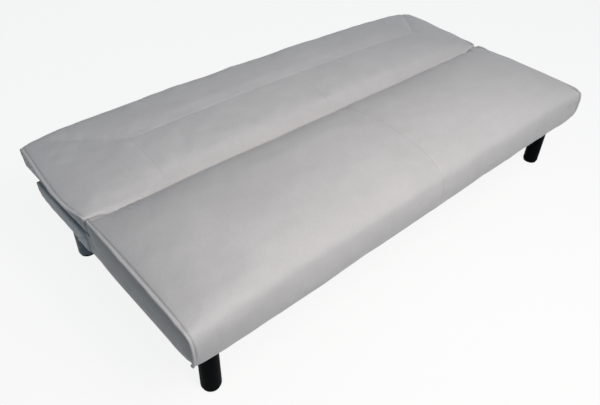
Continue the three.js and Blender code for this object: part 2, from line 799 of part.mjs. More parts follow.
const arm = cut(
  joined(
    discX(pivot, eye_radius, arm_layer),
    prismX(ratchet_sector, arm_layer),
    box(arm_layer, [crease_y, crease_y + arm_reach], arm_z),
  ),
  discX(pivot, pivot_hole_radius, through_arm),
  notch(lounging_lift),
  notch(upright_lift),
  ...arm_bolt_places.map((place) => discX(place, bolt_hole_radius, through_arm, small_round_sides)),
);
addPair('hinge_arm', arm, zinc_plate);

const rivet_end_x = [rivet_inner_x - rivet_head_thickness, rivet_outer_x + rivet_head_thickness];
const rivet = joined(
  discX(pivot, pivot_radius, rivet_end_x),
  discX(pivot, rivet_head_radius, [rivet_end_x[0], rivet_inner_x]),
  discX(pivot, rivet_head_radius, [rivet_outer_x, rivet_end_x[1]]),
);
addPair('hinge_rivet', rivet, black_steel);

const pawl = cut(
  joined(
    discX(pawl_pivot, pawl_eye_radius, arm_layer),
    prismX([
      onPawl(0, -pawl_root_half_width),
      onPawl(pawl_length - pawl_tip_half_width, -pawl_root_half_width),
      onPawl(pawl_length, -pawl_tip_half_width),
      onPawl(pawl_length, 0),
      onPawl(pawl_length - pawl_tip_half_width, 0),
      onPawl(0, pawl_root_half_width),
    ], arm_layer),
  ),
  discX(pawl_pivot, pawl_stud_radius + fit_gap, through_arm),
);
addPair('hinge_pawl', pawl, black_steel);

// A coil of round wire that stands upright between its seat and the pawl.
class Coil extends THREE.Curve {
  constructor(radius, turns, height) {
    super();
    this.radius = radius;
    this.turns = turns;
    this.height = height;
  }

  getPoint(t, target = new THREE.Vector3()) {
    const angle = 2 * Math.PI * this.turns * t;
    return target.set(this.radius * Math.cos(angle), this.radius * Math.sin(angle), this.height * t);
  }
}

const wire_sides = 5;
const steps_a_turn = 8;
const wire_outline = circle([0, 0], spring_wire_radius, wire_sides);
const wire_section = new THREE.Shape(wire_outline.map(([a, b]) => new THREE.Vector2(a, b)));
const coil_height = spring_height - 2 * spring_wire_radius;
const coil = new THREE.ExtrudeGeometry(wire_section, {
  extrudePath: new Coil(spring_radius - spring_wire_radius, spring_turns, coil_height),
  steps: spring_turns * steps_a_turn,
  bevelEnabled: false,
});
const spring_x = base_plate_outer_x + spring_out;
coil.translate(spring_x, spring_y, spring_seat_z + fit_gap + spring_wire_radius);
addPair('hinge_pawl_spring', coil, spring_steel);

function bolt([y, z], head_x) {
  return joined(
    discX([y, z], bolt_radius, [head_x - bolt_length, head_x + bolt_head_thickness], small_round_sides),
    discX([y, z], bolt_head_radius, [head_x, head_x + bolt_head_thickness], small_round_sides),
  );
}

base_bolt_places.forEach((place, i) => {
  addPair('hinge_base_bolt', bolt(place, base_plate_outer_x + fit_gap), black_steel, `_${i + 1}`);
});
arm_bolt_places.forEach((place, i) => {
  addPair('hinge_arm_bolt', bolt(place, arm_outer_x + fit_gap), black_steel, `_${i + 1}`);
});

export default sofa_bed;
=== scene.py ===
# Click clack sofa bed, laid flat: covers, piping, cloths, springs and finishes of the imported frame.

import math

import bpy
import numpy as np
from mathutils import Matrix, Vector
from mathutils.bvhtree import BVHTree


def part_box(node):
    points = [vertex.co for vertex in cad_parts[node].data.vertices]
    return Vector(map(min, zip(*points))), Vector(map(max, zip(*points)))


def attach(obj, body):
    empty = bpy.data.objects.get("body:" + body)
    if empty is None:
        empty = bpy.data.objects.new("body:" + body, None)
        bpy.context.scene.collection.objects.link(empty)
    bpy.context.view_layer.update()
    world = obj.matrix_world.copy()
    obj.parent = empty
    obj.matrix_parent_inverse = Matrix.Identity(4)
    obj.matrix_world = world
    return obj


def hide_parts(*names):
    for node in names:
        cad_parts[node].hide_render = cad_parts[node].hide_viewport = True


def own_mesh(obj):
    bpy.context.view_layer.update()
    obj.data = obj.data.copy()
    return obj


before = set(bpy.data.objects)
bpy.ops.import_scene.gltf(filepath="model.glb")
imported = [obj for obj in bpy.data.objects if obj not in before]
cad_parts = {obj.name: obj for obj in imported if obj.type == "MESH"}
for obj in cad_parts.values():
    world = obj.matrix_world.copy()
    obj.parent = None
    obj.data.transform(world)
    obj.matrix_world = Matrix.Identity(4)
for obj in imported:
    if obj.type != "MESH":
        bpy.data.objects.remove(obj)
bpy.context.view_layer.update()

bl_info = {
    "name": "Click clack sofa bed",
    "version": (1, 0, 0),
    "blender": (4, 5, 0),
    "location": "3D View > Sidebar > Sofa bed",
    "description": "Covers, piping, cloths, springs and finishes of a click clack sofa bed",
    "category": "Object",
}

SIDES = (("left", -1.0), ("right", 1.0))

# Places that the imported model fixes, in metres

HALF_LENGTH = 0.85
CREASE_Y = 0.031
PIVOT_Z = 0.315
FRAME_BOTTOM = 0.205
INNER_END_X = 0.846
PANEL_INNER_X = 0.8405
DECK_TOP = 0.2859
FRONT_RAIL_Y = -0.4003
SEAT_REAR_Y = 0.0307
BACK_BOTTOM = 0.3106
BACK_RAIL_REAR_Y = 0.4163
SIDE_RAIL_REAR_Y = 0.058
STEP_Z = 0.272
BACK_UNDERSIDE = 0.276
BLOCK_FRONT_Y = 0.0574
BLOCK_REAR_Y = 0.3752
BLOCK_X = 0.8482

# Profiles of the cushions from the front to the rear. Each row has y and z at the end seam, how
# far out that seam lies, and y and z in the middle of the bed's length.

SEAT_ROWS = (
    (-0.4155, 0.2050, 0.8475, -0.4258, 0.2050),
    (-0.4248, 0.2320, 0.8485, -0.4292, 0.2330),
    (-0.4296, 0.2570, 0.8495, -0.4302, 0.2610),
    (-0.4286, 0.2800, 0.8505, -0.4290, 0.2860),
    (-0.4222, 0.2990, 0.8510, -0.4238, 0.3085),
    (-0.4095, 0.3090, 0.8515, -0.4115, 0.3235),
    (-0.3900, 0.3125, 0.8515, -0.3915, 0.3370),
    (-0.3400, 0.3180, 0.8515, -0.3400, 0.3570),
    (-0.2600, 0.3225, 0.8515, -0.2600, 0.3759),
    (-0.1800, 0.3275, 0.8515, -0.1800, 0.3818),
    (-0.1000, 0.3310, 0.8515, -0.1000, 0.3795),
    (-0.0500, 0.3310, 0.8510, -0.0500, 0.3700),
    (-0.0100, 0.3300, 0.8500, -0.0100, 0.3530),
    (0.0105, 0.3290, 0.8490, 0.0105, 0.3365),
)
BACK_ROWS = (
    (0.0450, 0.3275, 0.8505, 0.0450, 0.3262),
    (0.0600, 0.3290, 0.8535, 0.0600, 0.3366),
    (0.0790, 0.3285, 0.8575, 0.0790, 0.3500),
    (0.1000, 0.3275, 0.8615, 0.1000, 0.3575),
    (0.1300, 0.3275, 0.8650, 0.1300, 0.3635),
    (0.1720, 0.3310, 0.8660, 0.1720, 0.3700),
    (0.2310, 0.3360, 0.8640, 0.2310, 0.3769),
    (0.3000, 0.3445, 0.8600, 0.3000, 0.3812),
    (0.3700, 0.3502, 0.8550, 0.3700, 0.3820),
    (0.4050, 0.3500, 0.8525, 0.4060, 0.3808),
    (0.4190, 0.3440, 0.8510, 0.4212, 0.3770),
    (0.4265, 0.3300, 0.8500, 0.4280, 0.3667),
    (0.4295, 0.3120, 0.8490, 0.4300, 0.3480),
    (0.4300, 0.2920, 0.8480, 0.4300, 0.3060),
    (0.4280, 0.2796, 0.8470, 0.4280, 0.2796),
)

# Where the covers meet at the crease: their edges in the middle, and the directions from the
# pivot at which they roll over the hinges at the ends. The seat's have an added crown, and the
# back's roll lies a little farther out.

SEAT_EDGE = (
    (0.0145, 0.3270, 0.0062), (0.0180, 0.3255, 0.0042), (0.0215, 0.3237, 0.0024),
    (0.0245, 0.3215, 0.0012), (0.0272, 0.3185, 0.0004), (0.0293, 0.3150, 0.0),
    (0.0302, 0.3115, 0.0), (0.0306, 0.3085, 0.0), (0.0307, 0.3055, 0.0), (0.0307, 0.3025, 0.0),
)
SEAT_ROLL = (125, 107, 88, 68, 48, 27, 5, -20, -47, -78)
BACK_EDGE = ((0.0318, 0.3120), (0.0316, 0.3145), (0.0330, 0.3175), (0.0375, 0.3215))
BACK_ROLL = (-25, -6, 14, 33)
ROLL_GAP = 0.0006

# Seams, as [x, y] places seen from above

SEAT_SEAM_X = 0.010
BACK_SEAM_X = 0.033
BACK_SEAM_Y = 0.240
BACK_BAND_X = {"left": 0.606, "right": 0.692}
BACK_MITRE_X = 0.743
BACK_CORNER = (0.842, 0.424)


class SofaBedSizes(bpy.types.PropertyGroup):
    """Sizes of the soft parts"""
    piping_radius: bpy.props.FloatProperty(
        name="Piping radius", description="Radius of the piping round the ends",
        default=0.0036, unit="LENGTH", subtype="DISTANCE")
    crease_roll: bpy.props.FloatProperty(
        name="Crease roll", description="Radius of the seat cover's roll over the hinges",
        default=0.0113, unit="LENGTH", subtype="DISTANCE")
    groove_depth: bpy.props.FloatProperty(
        name="Seam groove depth", description="How deep a seam lies in the cover",
        default=0.0011, unit="LENGTH", subtype="DISTANCE")
    groove_width: bpy.props.FloatProperty(
        name="Seam groove width", description="Half width of the groove along a seam",
        default=0.0026, unit="LENGTH", subtype="DISTANCE")
    dip_depth: bpy.props.FloatProperty(
        name="Seam dip depth", description="How far a seam draws the padding in",
        default=0.0016, unit="LENGTH", subtype="DISTANCE")
    dip_width: bpy.props.FloatProperty(
        name="Seam dip width", description="Half width of the dip along a seam",
        default=0.022, unit="LENGTH", subtype="DISTANCE")
    tuck_depth: bpy.props.FloatProperty(
        name="Tuck depth", description="How deep the cover lies beside its piping",
        default=0.0022, unit="LENGTH", subtype="DISTANCE")
    tuck_width: bpy.props.FloatProperty(
        name="Tuck width", description="Half width of the tuck beside the piping",
        default=0.0022, unit="LENGTH", subtype="DISTANCE")
    end_bulge: bpy.props.FloatProperty(
        name="End bulge", description="How far a padded end stands out of its piping",
        default=0.004, unit="LENGTH", subtype="DISTANCE")
    seam_radius: bpy.props.FloatProperty(
        name="Seam radius", description="Half width of the sewn edge with painted highlight in a seam",
        default=0.0006, unit="LENGTH", subtype="DISTANCE")
    spring_wire: bpy.props.FloatProperty(
        name="Spring wire", description="Radius of the wire of the pawl springs",
        default=0.0005, unit="LENGTH", subtype="DISTANCE")
    mesh_step: bpy.props.FloatProperty(
        name="Mesh step", description="Distance between the points of a cover",
        default=0.008, unit="LENGTH", subtype="DISTANCE")


def colour_property(name, description, colour):
    """A colour that can be changed in the panel."""
    return bpy.props.FloatVectorProperty(
        name=name, description=description, subtype="COLOR", size=3, min=0, max=1, default=colour)


class SofaBedColours(bpy.types.PropertyGroup):
    """Colours of the finishes"""
    cover: colour_property("Cover", "Leatherette of the cushions", (0.565, 0.552, 0.558))
    # The ends are the same leatherette as the cover, darkened here as painted shade.
    end: colour_property("Ends", "Leatherette of the padded ends, darkened as painted shade", (0.385, 0.39, 0.395))
    # The rear frame's cover is the same leatherette as the cover, lightened here as painted light against
    # the shade of its recess under the back.
    wrap: colour_property("Rear frame", "Leatherette round the rear frame, lightened as painted light", (0.62, 0.62, 0.62))
    # The sewn edges are the cover's leatherette, lightened here as a painted highlight along the fold of
    # each seam.
    seam: colour_property("Seams", "Sewn edges in the seams, lightened as a painted highlight", (0.60, 0.585, 0.59))
    lining: colour_property("Lining", "Black lining cloth", (0.018, 0.018, 0.02))
    front_leg: colour_property("Front legs", "Black moulded legs", (0.0035, 0.0048, 0.0052))
    rear_leg: colour_property("Rear legs", "Grey moulded legs", (0.30, 0.31, 0.315))
    glide: colour_property("Glides", "Black glides", (0.006, 0.006, 0.006))
    timber: colour_property("Timber", "Rails of pine", (0.56, 0.37, 0.18))
    plywood: colour_property("Plywood", "Deck of plywood", (0.47, 0.30, 0.13))
    hardboard: colour_property("Hardboard", "Boards of hardboard", (0.15, 0.083, 0.04))
    zinc: colour_property("Zinc", "Plated hinge plates", (0.45, 0.46, 0.47))
    black_steel: colour_property("Black steel", "Painted bolts and pawls", (0.014, 0.015, 0.016))
    spring: colour_property("Spring steel", "Pawl springs", (0.3, 0.31, 0.32))


def sizes():
    return bpy.context.scene.sofa_bed_sizes


def colours():
    return bpy.context.scene.sofa_bed_colours


# Lines, grids and noise

def spline(knots, step):
    """A smooth line through the knots, with a point about every step."""
    knots = np.asarray(knots, float)
    line = np.vstack([2 * knots[0] - knots[1], knots, 2 * knots[-1] - knots[-2]])
    pieces = []
    for a, b, c, d in zip(line[:-3], line[1:-2], line[2:-1], line[3:]):
        g0, g1, g2 = (max(np.linalg.norm(v - u), 1e-7) ** 0.5 for u, v in ((a, b), (b, c), (c, d)))
        lead = ((b - a) / g0 - (c - a) / (g0 + g1) + (c - b) / g1) * g1
        tail = ((c - b) / g1 - (d - b) / (g1 + g2) + (d - c) / g2) * g1
        count = max(1, math.ceil(np.linalg.norm(c - b) / step))
        t = (np.arange(count) / count)[:, None]
        pieces.append(
            (2 * t**3 - 3 * t**2 + 1) * b + (t**3 - 2 * t**2 + t) * lead
            + (3 * t**2 - 2 * t**3) * c + (t**3 - t**2) * tail
        )
    return np.vstack([*pieces, knots[-1:]])


def run_of(line):
    """How far along its line each point lies."""
    return np.concatenate([[0.0], np.cumsum(np.linalg.norm(np.diff(line, axis=0), axis=1))])


def at_places(line, run, places):
    """Points of a line at places along it, where run says how far along its own points lie."""
    return np.stack([np.interp(places, run, column) for column in np.asarray(line).T], axis=1)


def evenly(line, step):
    """The line's points again, about a step apart."""
    run = run_of(line)
    return at_places(line, run, np.linspace(0, run[-1], max(2, math.ceil(run[-1] / step) + 1)))


def stations(start, end, step, spots=()):
    """Places from start to end, a step apart and closer round the given spots."""
    places = list(np.linspace(start, end, round((end - start) / step) + 1))
    for centre, offsets in spots:
        reach = max(abs(o) for o in offsets) + step / 3
        places = [p for p in places if abs(p - centre) > reach or p in (start, end)]
        places += [centre + o for o in offsets if start < centre + o < end]
    places = sorted(places)
    return np.array([p for i, p in enumerate(places) if i == 0 or p - places[i - 1] > 1e-4])


def spaced(step, first, last):
    """Places a step apart round a spot, from the first to just before the last."""
    return tuple(step * i for i in range(first, last))


NEAR_SEAM = (-0.011, -0.0075, -0.005, -0.003, -0.0015, 0.0, 0.0015, 0.003, 0.005, 0.0075, 0.011)
NEAR_END = (0.0, 0.0006, 0.0014, 0.0025, 0.0037, 0.005, 0.0064, 0.008, 0.0105, 0.014, 0.018)


def ripples(x, y, size, seed, count=28):
    """Smooth noise between about -1 and 1 with features of the given size."""
    source = np.random.default_rng(seed)
    total = np.zeros(np.broadcast(x, y).shape)
    for _ in range(count):
        angle, phase = source.uniform(0, 2 * math.pi, 2)
        wave = 2 * math.pi / (size * source.uniform(0.7, 1.6))
        total += np.sin(wave * (x * math.cos(angle) + y * math.sin(angle)) + phase)
    return total / math.sqrt(count)


def away_from(points, a, b):
    """Seen from above, how far points are from the line between a and b, and how far along it."""
    a, b = np.array(a), np.array(b)
    run = b - a
    along = ((points[..., :2] - a) @ run) / (run @ run)
    foot = a + np.clip(along, 0, 1)[..., None] * run
    return np.linalg.norm(points[..., :2] - foot, axis=-1), along * np.linalg.norm(run)


def normals_of(grid, closed=True):
    """Normals of a grid of points, whose rows are closed loops or open lines."""
    if closed:
        along = np.roll(grid, -1, axis=1) - np.roll(grid, 1, axis=1)
    else:
        along = np.gradient(grid, axis=1)
    normal = np.cross(np.gradient(grid, axis=0), along)
    return normal / np.maximum(np.linalg.norm(normal, axis=-1, keepdims=True), 1e-9)


def fade(values, start, end):
    """0 at start and 1 at end, smoothly."""
    t = np.clip((values - start) / (end - start), 0, 1)
    return t * t * (3 - 2 * t)


# Pieces

def make_piece(name, points, faces, finish, body, stands_for=()):
    """A smooth shaded mesh in one of the finishes, which moves with a body of the frame."""
    mesh = bpy.data.meshes.new(name)
    mesh.from_pydata([tuple(map(float, p)) for p in points], [], faces)
    mesh.validate()
    mesh.shade_smooth()
    mesh.materials.append(finish_of(finish))
    piece = bpy.data.objects.new(name, mesh)
    bpy.context.scene.collection.objects.link(piece)
    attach(piece, body)
    if stands_for:
        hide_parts(*stands_for)
    return piece


def keep_sharp(piece, degrees):
    """Edges sharper than this stay crisp."""
    piece.data.set_sharp_from_angle(angle=math.radians(degrees))


def skin(grid):
    """Points and faces of closed loops that follow one another, with both ends closed."""
    rows, around = grid.shape[:2]
    faces = []
    for i in range(rows - 1):
        for j in range(around):
            k = (j + 1) % around
            faces.append((i * around + j, (i + 1) * around + j, (i + 1) * around + k, i * around + k))
    faces.append(tuple(range(around)))
    faces.append(tuple((rows - 1) * around + j for j in reversed(range(around))))
    return grid.reshape(-1, 3), faces


def quads_of(rows, columns):
    """Faces between the points of an open grid."""
    at = np.arange(rows * columns).reshape(rows, columns).tolist()
    return [(at[i][j], at[i + 1][j], at[i + 1][j + 1], at[i][j + 1])
            for i in range(rows - 1) for j in range(columns - 1)]


def closed_round(quads, shift):
    """Faces of a thin piece: those of one side, those of the other, shift points on, and the rim."""
    edges = dict.fromkeys(edge for quad in quads for edge in zip(quad, quad[1:] + quad[:1]))
    return [
        *quads,
        *(tuple(shift + v for v in reversed(quad)) for quad in quads),
        *((b, a, shift + a, shift + b) for a, b in edges if (b, a) not in edges),
    ]


def mirrored(points, faces, side):
    """The shape of a right-hand piece on the given side of the bed."""
    if side > 0:
        return points, faces
    return points * np.array([-1.0, 1.0, 1.0]), [tuple(reversed(f)) for f in faces]


def rope(path, radius, sides=10, flat=1.0):
    """A round tube along a path, with closed ends."""
    path = np.asarray(path)
    run = np.gradient(path, axis=0)
    run /= np.linalg.norm(run, axis=1, keepdims=True)
    side = np.cross(run[0], (0.0, 0.0, 1.0))
    if np.linalg.norm(side) < 0.1:
        side = np.cross(run[0], (1.0, 0.0, 0.0))
    rings = []
    for place, ahead in zip(path, run):
        side = side - ahead * (side @ ahead)
        side /= np.linalg.norm(side)
        up = np.cross(side, ahead)
        turn = np.linspace(0, 2 * math.pi, sides, endpoint=False)
        rings.append(place + radius * (np.outer(np.cos(turn), side) + flat * np.outer(np.sin(turn), up)))
    points, faces = skin(np.array(rings))
    return points, [tuple(reversed(f)) for f in faces]


def cloth_of(grid, thickness):
    """Points and faces of an open grid made into thin cloth, on the side that its normals leave."""
    normal = normals_of(grid, closed=False)
    rows, columns = grid.shape[:2]
    points = np.vstack([(grid + normal * thickness).reshape(-1, 3), grid.reshape(-1, 3)])
    return points, closed_round(quads_of(rows, columns), rows * columns)


def padded_board(top, bottom, edge_x, inner_x, bulge, soft_width, rows=14):
    """A board between two lines of [y, z] points, whose outer face swells between its edges."""
    top, bottom, edge_x = np.asarray(top), np.asarray(bottom), np.asarray(edge_x)
    share = (1 - np.cos(np.linspace(0, math.pi, rows))) / 2
    flat = bottom[:, None] * (1 - share[None, :, None]) + top[:, None] * share[None, :, None]
    border = np.vstack([bottom, flat[-1], top[::-1], flat[0][::-1]])
    starts, ends = border[:-1], border[1:]
    run = ends - starts
    size = np.maximum((run**2).sum(1), 1e-12)
    gap = np.full(flat.shape[:2], 1.0)
    for a, r, s in zip(starts, run, size):
        t = np.clip(((flat - a) @ r) / s, 0, 1)
        gap = np.minimum(gap, np.linalg.norm(flat - a - t[..., None] * r, axis=-1))
    swell = 1 - (1 - np.clip(gap / soft_width, 0, 1)) ** 2
    outer = np.dstack([edge_x[:, None] + bulge * swell, flat])
    inner = np.dstack([np.full(flat.shape[:2], inner_x), flat])
    points = np.vstack([outer.reshape(-1, 3), inner.reshape(-1, 3)])
    return points, closed_round(quads_of(*flat.shape[:2]), flat.shape[0] * flat.shape[1])


# Covers of the cushions

# Crowns, as power and softness: the higher the power, the farther the crown stays full towards the
# ends. The seat's front has its own below the first of the heights, and the top's above the second.
# Between the reaches, a cover turns from its crown to its line over the hinges.

SEAT_CROWN = (3.6, 0.62)
SEAT_FRONT_CROWN = (18, 0.6)
BACK_CROWN = (2.6, 0.48)
FRONT_CROWN_Z = (0.245, 0.315)
END_LINE_X = (0.775, 0.815)

# Unevenness of the padding, as height and size, and the reach from an end over which it grows

SWELLS = ((0.0014, 0.26), (0.0005, 0.07))
SWELL_FADE = 0.05

# Puckers beside a seam: height, size along it, how far they reach, and how close to it they start

PUCKER_HEIGHT = 0.0010
PUCKER_SIZE = 0.038
PUCKER_REACH = 0.02
PUCKER_START = 0.005

# Where the tuck beside the piping grows, from a cover's edges, and where it ends at the rear

TUCK_FADE = (0.012, 0.035)
REAR_CORNER_Y = (0.385, 0.415)

# Folds that run out of the crease near the left end: their place, height, distance and slant

GATHER_X = (-0.825, -0.66)
GATHER_Y = (-0.045, 0.005)
GATHER_HEIGHT = 0.0013
GATHER_DISTANCE = 0.021
GATHER_SLANT = 0.35

# The cloth simulation: cell size, pressure, how much larger the cloth is cut, and its frames. Of
# the relief that it gives, a share is kept, up to the limit, after its broad rise is taken out, and
# it fades out towards the edges. The seams hold the cloth, where they show at all.

CLOTH_STEP = 0.016
CLOTH_PRESSURE = 2.0
CLOTH_EASE = 0.010
CLOTH_FRAMES = 20
CLOTH_SHARE = 0.35
CLOTH_LIMIT = 0.0014
CLOTH_SETTINGS = {
    "quality": 6, "mass": 0.25, "tension_stiffness": 12, "compression_stiffness": 8,
    "shear_stiffness": 6, "bending_stiffness": 0.15, "air_damping": 4, "vertex_group_mass": "held",
    "use_pressure": True, "uniform_pressure_force": CLOTH_PRESSURE, "shrink_min": -CLOTH_EASE,
}
CLOTH_SMOOTHINGS = 60
CLOTH_FADE = (0.01, 0.07)
CLOTH_HOLD = 0.9
CLOTH_HOLD_FADE = (0.3, 0.7)
SEAM_SHOWN = 0.1

# How the seat's right end lies, other than its left one: how far its top is drawn in and down, and
# how far its front corner hangs out, forwards and down. The reaches say where each comes and goes
# along x, y and z.

RIGHT_TOP_SHIFT = (-0.0035, 0.0, -0.0055)
RIGHT_TOP_REACH = ((0.60, 0.84), (-0.035, 0.012), (0.295, 0.312))
RIGHT_CORNER_SHIFT = (0.0025, -0.0065, -0.0030)
RIGHT_CORNER_REACH = ((0.52, 0.80), (-0.4155, -0.4005), (0.212, 0.262))

# Heights between which a seam fades out, at the seat's foot and at the back's edge

SEAT_SEAM_Z = (0.205, 0.25)
BACK_SEAM_Z = (0.315, 0.335)

# The back's seams and how deep each lies, as a share of the usual groove and dip

BACK_SEAMS = (
    ("back_centre_seam", 0.7), ("back_inner_seam", 0.85),
    ("back_mitre_seam_left", 0.85), ("back_band_seam_left", 0.8),
    ("back_mitre_seam_right", 1.5), ("back_band_seam_right", 1.2),
)


def crown_at(t, power, softness):
    """How full a cushion is at shares of its half length, 1 in the middle and 0 at the ends."""
    return np.maximum(1 - np.abs(t) ** power, 0) ** softness


def round_pivot(angles, radius):
    """Places on a circle round the hinges' pivot, as [y, z] points."""
    turn = np.radians(angles)
    return np.column_stack([CREASE_Y + radius * np.cos(turn), PIVOT_Z + radius * np.sin(turn)])


def lines_of(rows, edge, roll, edge_first):
    """A cover's line at its end, in its middle and where its crown begins, as [y, z, x] points."""
    rows = np.array(rows)
    edge = np.array(edge)
    if edge.shape[1] == 2:
        edge = np.column_stack([edge, np.zeros(len(edge))])
    reach = rows[0 if edge_first else -1, 2] - 0.001
    end = [rows[:, :3], np.column_stack([roll, np.full(len(roll), reach)])]
    base = [rows[:, :3], np.column_stack([edge[:, :2], np.full(len(edge), reach)])]
    middle = [rows[:, 3:], edge[:, :2] + edge[:, 2:] * (0, 1)]
    if edge_first:
        end, base, middle = end[::-1], base[::-1], middle[::-1]
    return np.hstack([np.vstack(end), np.vstack(base)[:, :2], np.vstack(middle)])


def cover_grid(knots, spots, inner, share, crown, front_crown=None):
    """Closed loops of a cushion at shares of its half length. Its front may have its own crown."""
    fine = spline(knots, 0.001)
    run = run_of(fine[:, 5:])
    line = at_places(fine, run, stations(0, run[-1], sizes().mesh_step, spots(fine, run)))
    inner = np.hstack([inner, np.full((len(inner), 1), INNER_END_X), inner, inner])
    loop = np.vstack([line, inner])
    crown = crown[:, None, None]
    if front_crown is not None:
        front = 1 - fade(loop[:, 6], *FRONT_CROWN_Z)
        crown = crown + (front_crown[:, None, None] - crown) * front[None, :, None]
    near_end = fade(np.abs(share) * INNER_END_X, *END_LINE_X)[:, None, None]
    place = loop[None, :, 3:5] * (1 - near_end) + loop[None, :, :2] * near_end
    place = place * (1 - crown) + loop[None, :, 5:] * crown
    grid = np.empty((len(share), len(loop), 3))
    grid[..., 0] = share[:, None] * loop[None, :, 2]
    grid[..., 1:] = place
    return grid, len(line)


def sew(grid, outer, seams):
    """Draws the cover in along its seams, with small puckers beside them."""
    size = sizes()
    inward = np.zeros(grid.shape[:2])
    for seed, (gap, along, share) in enumerate(seams):
        groove = size.groove_depth * np.exp(-((gap / size.groove_width) ** 2))
        dip = size.dip_depth * np.exp(-((gap / size.dip_width) ** 2))
        pucker = np.exp(-gap / PUCKER_REACH) * (1 - np.exp(-((gap / PUCKER_START) ** 2)))
        pucker = PUCKER_HEIGHT * pucker * ripples(along, gap * 0.2, PUCKER_SIZE, 40 + seed)
        inward = np.maximum(inward, share * (groove + dip)) + share * pucker
    inward[:, outer:] = 0
    return grid - normals_of(grid) * inward[..., None]


def soften(grid, outer, seed):
    """Slight unevenness of the padding under the cover."""
    x, y = grid[..., 0], grid[..., 1] + grid[..., 2]
    swell = sum(height * ripples(x, y, size, seed + i) for i, (height, size) in enumerate(SWELLS))
    swell *= fade(HALF_LENGTH - np.abs(x), 0.0, SWELL_FADE)
    swell[:, outer:] = 0
    return grid + normals_of(grid) * swell[..., None]


def tuck(grid, outer):
    """Draws the cover down into the stitch line beside its piping."""
    size = sizes()
    gap = np.abs(grid[0, :, 0])[None, :] - np.abs(grid[..., 0])
    inward = size.tuck_depth * np.exp(-(((gap - size.piping_radius) / size.tuck_width) ** 2))
    place = run_of(grid[len(grid) // 2, :outer])
    inward[:, :outer] *= fade(np.minimum(place, place[-1] - place), *TUCK_FADE)
    inward *= 1 - fade(grid[..., 1], *REAR_CORNER_Y)
    inward[:, outer:] = 0
    return grid - normals_of(grid) * inward[..., None]


def gather(grid, outer, seed):
    """Small folds that run out of the crease near the left end."""
    x, y = grid[..., 0], grid[..., 1]
    low, high = GATHER_X
    middle, half = (low + high) / 2, (high - low) / 2
    shown = np.clip(1 - ((x - middle) / half) ** 2, 0, 1) * fade(y, *GATHER_Y)
    turn = 2 * math.pi * (x + GATHER_SLANT * y) / GATHER_DISTANCE
    fold = np.sin(turn + 1.4 * ripples(x, 0 * x, 0.09, seed, 9))
    height = GATHER_HEIGHT * shown * fold
    height[:, outer:] = 0
    return grid + normals_of(grid) * height[..., None]


def weights(places, knots):
    """How much each knot counts at each place, for a smooth line through the knots."""
    spot = np.interp(places, knots, np.arange(len(knots)))
    first = np.clip(spot.astype(int), 0, len(knots) - 2)
    t = spot - first
    table = np.zeros((len(places), len(knots)))
    shape = (-t / 2 + t**2 - t**3 / 2, 1 - 2.5 * t**2 + 1.5 * t**3, t / 2 + 2 * t**2 - 1.5 * t**3,
             -(t**2) / 2 + t**3 / 2)
    for shift, weight in zip((-1, 0, 1, 2), shape):
        np.add.at(table, (np.arange(len(places)), np.clip(first + shift, 0, len(knots) - 1)), weight)
    return table


def smoothed(values, times):
    """Values on a grid, averaged with their neighbours again and again."""
    for _ in range(times):
        values = np.pad(values, 1, mode="edge")
        values = (values[:-2, 1:-1] + values[2:, 1:-1] + values[1:-1, :-2] + values[1:-1, 2:]) / 4
    return values


def settled(grid, held):
    """Where an open grid of cloth comes to rest under the padding's pressure, held at some points."""
    mesh = bpy.data.meshes.new("cloth")
    mesh.from_pydata([tuple(map(float, p)) for p in grid.reshape(-1, 3)], [], quads_of(*grid.shape[:2]))
    piece = bpy.data.objects.new("cloth", mesh)
    scene = bpy.context.scene
    scene.collection.objects.link(piece)
    group = piece.vertex_groups.new(name="held")
    for i, share in enumerate(held.reshape(-1)):
        group.add([i], float(share), "REPLACE")
    cloth = piece.modifiers.new("cloth", "CLOTH")
    for setting, value in CLOTH_SETTINGS.items():
        setattr(cloth.settings, setting, value)
    cloth.settings.effector_weights.gravity = 0
    cloth.collision_settings.use_collision = False
    for moment in range(1, CLOTH_FRAMES + 1):
        scene.frame_set(moment)
    shape = piece.evaluated_get(bpy.context.evaluated_depsgraph_get()).to_mesh()
    points = np.empty(grid.size)
    shape.vertices.foreach_get("co", points)
    bpy.data.objects.remove(piece)
    bpy.data.meshes.remove(mesh)
    scene.frame_set(1)
    return points.reshape(grid.shape)


def relax(grid, outer, seams):
    """Lays the cover as cloth over its padding, sewn down along its seams, and keeps its crown."""
    across = run_of(grid[:, outer // 2])
    along = run_of(grid[len(grid) // 2, :outer])
    spots = []
    for run in (across, along):
        places = np.arange(0, run[-1] + 0.5 * CLOTH_STEP, CLOTH_STEP)
        spots.append(np.unique([np.argmin(np.abs(run - place)) for place in places]))
    coarse = grid[np.ix_(*spots)]
    held = np.zeros(coarse.shape[:2])
    for gap, _, share in seams:
        near = np.exp(-((gap / CLOTH_STEP) ** 2)) * (share > SEAM_SHOWN)
        held = np.maximum(held, near[np.ix_(*spots)])
    held = CLOTH_HOLD * fade(held, *CLOTH_HOLD_FADE)
    held[:2] = held[-2:] = 1
    held[:, :2] = held[:, -2:] = 1
    moved = settled(coarse, held) - coarse
    rise = (moved * normals_of(coarse, closed=False)).sum(-1)
    rise = rise - smoothed(rise, CLOTH_SMOOTHINGS)
    rise = CLOTH_LIMIT * np.tanh(CLOTH_SHARE * rise / CLOTH_LIMIT)
    for run, axis in ((across, 0), (along, 1)):
        place = run[spots[axis]]
        near_edge = fade(np.minimum(place, place[-1] - place), *CLOTH_FADE)
        rise = rise * (near_edge[:, None] if axis == 0 else near_edge)
    fine = weights(across, across[spots[0]]) @ rise @ weights(along, along[spots[1]]).T
    full = np.zeros(grid.shape[:2])
    full[:, :outer] = fine
    return grid + normals_of(grid) * full[..., None]


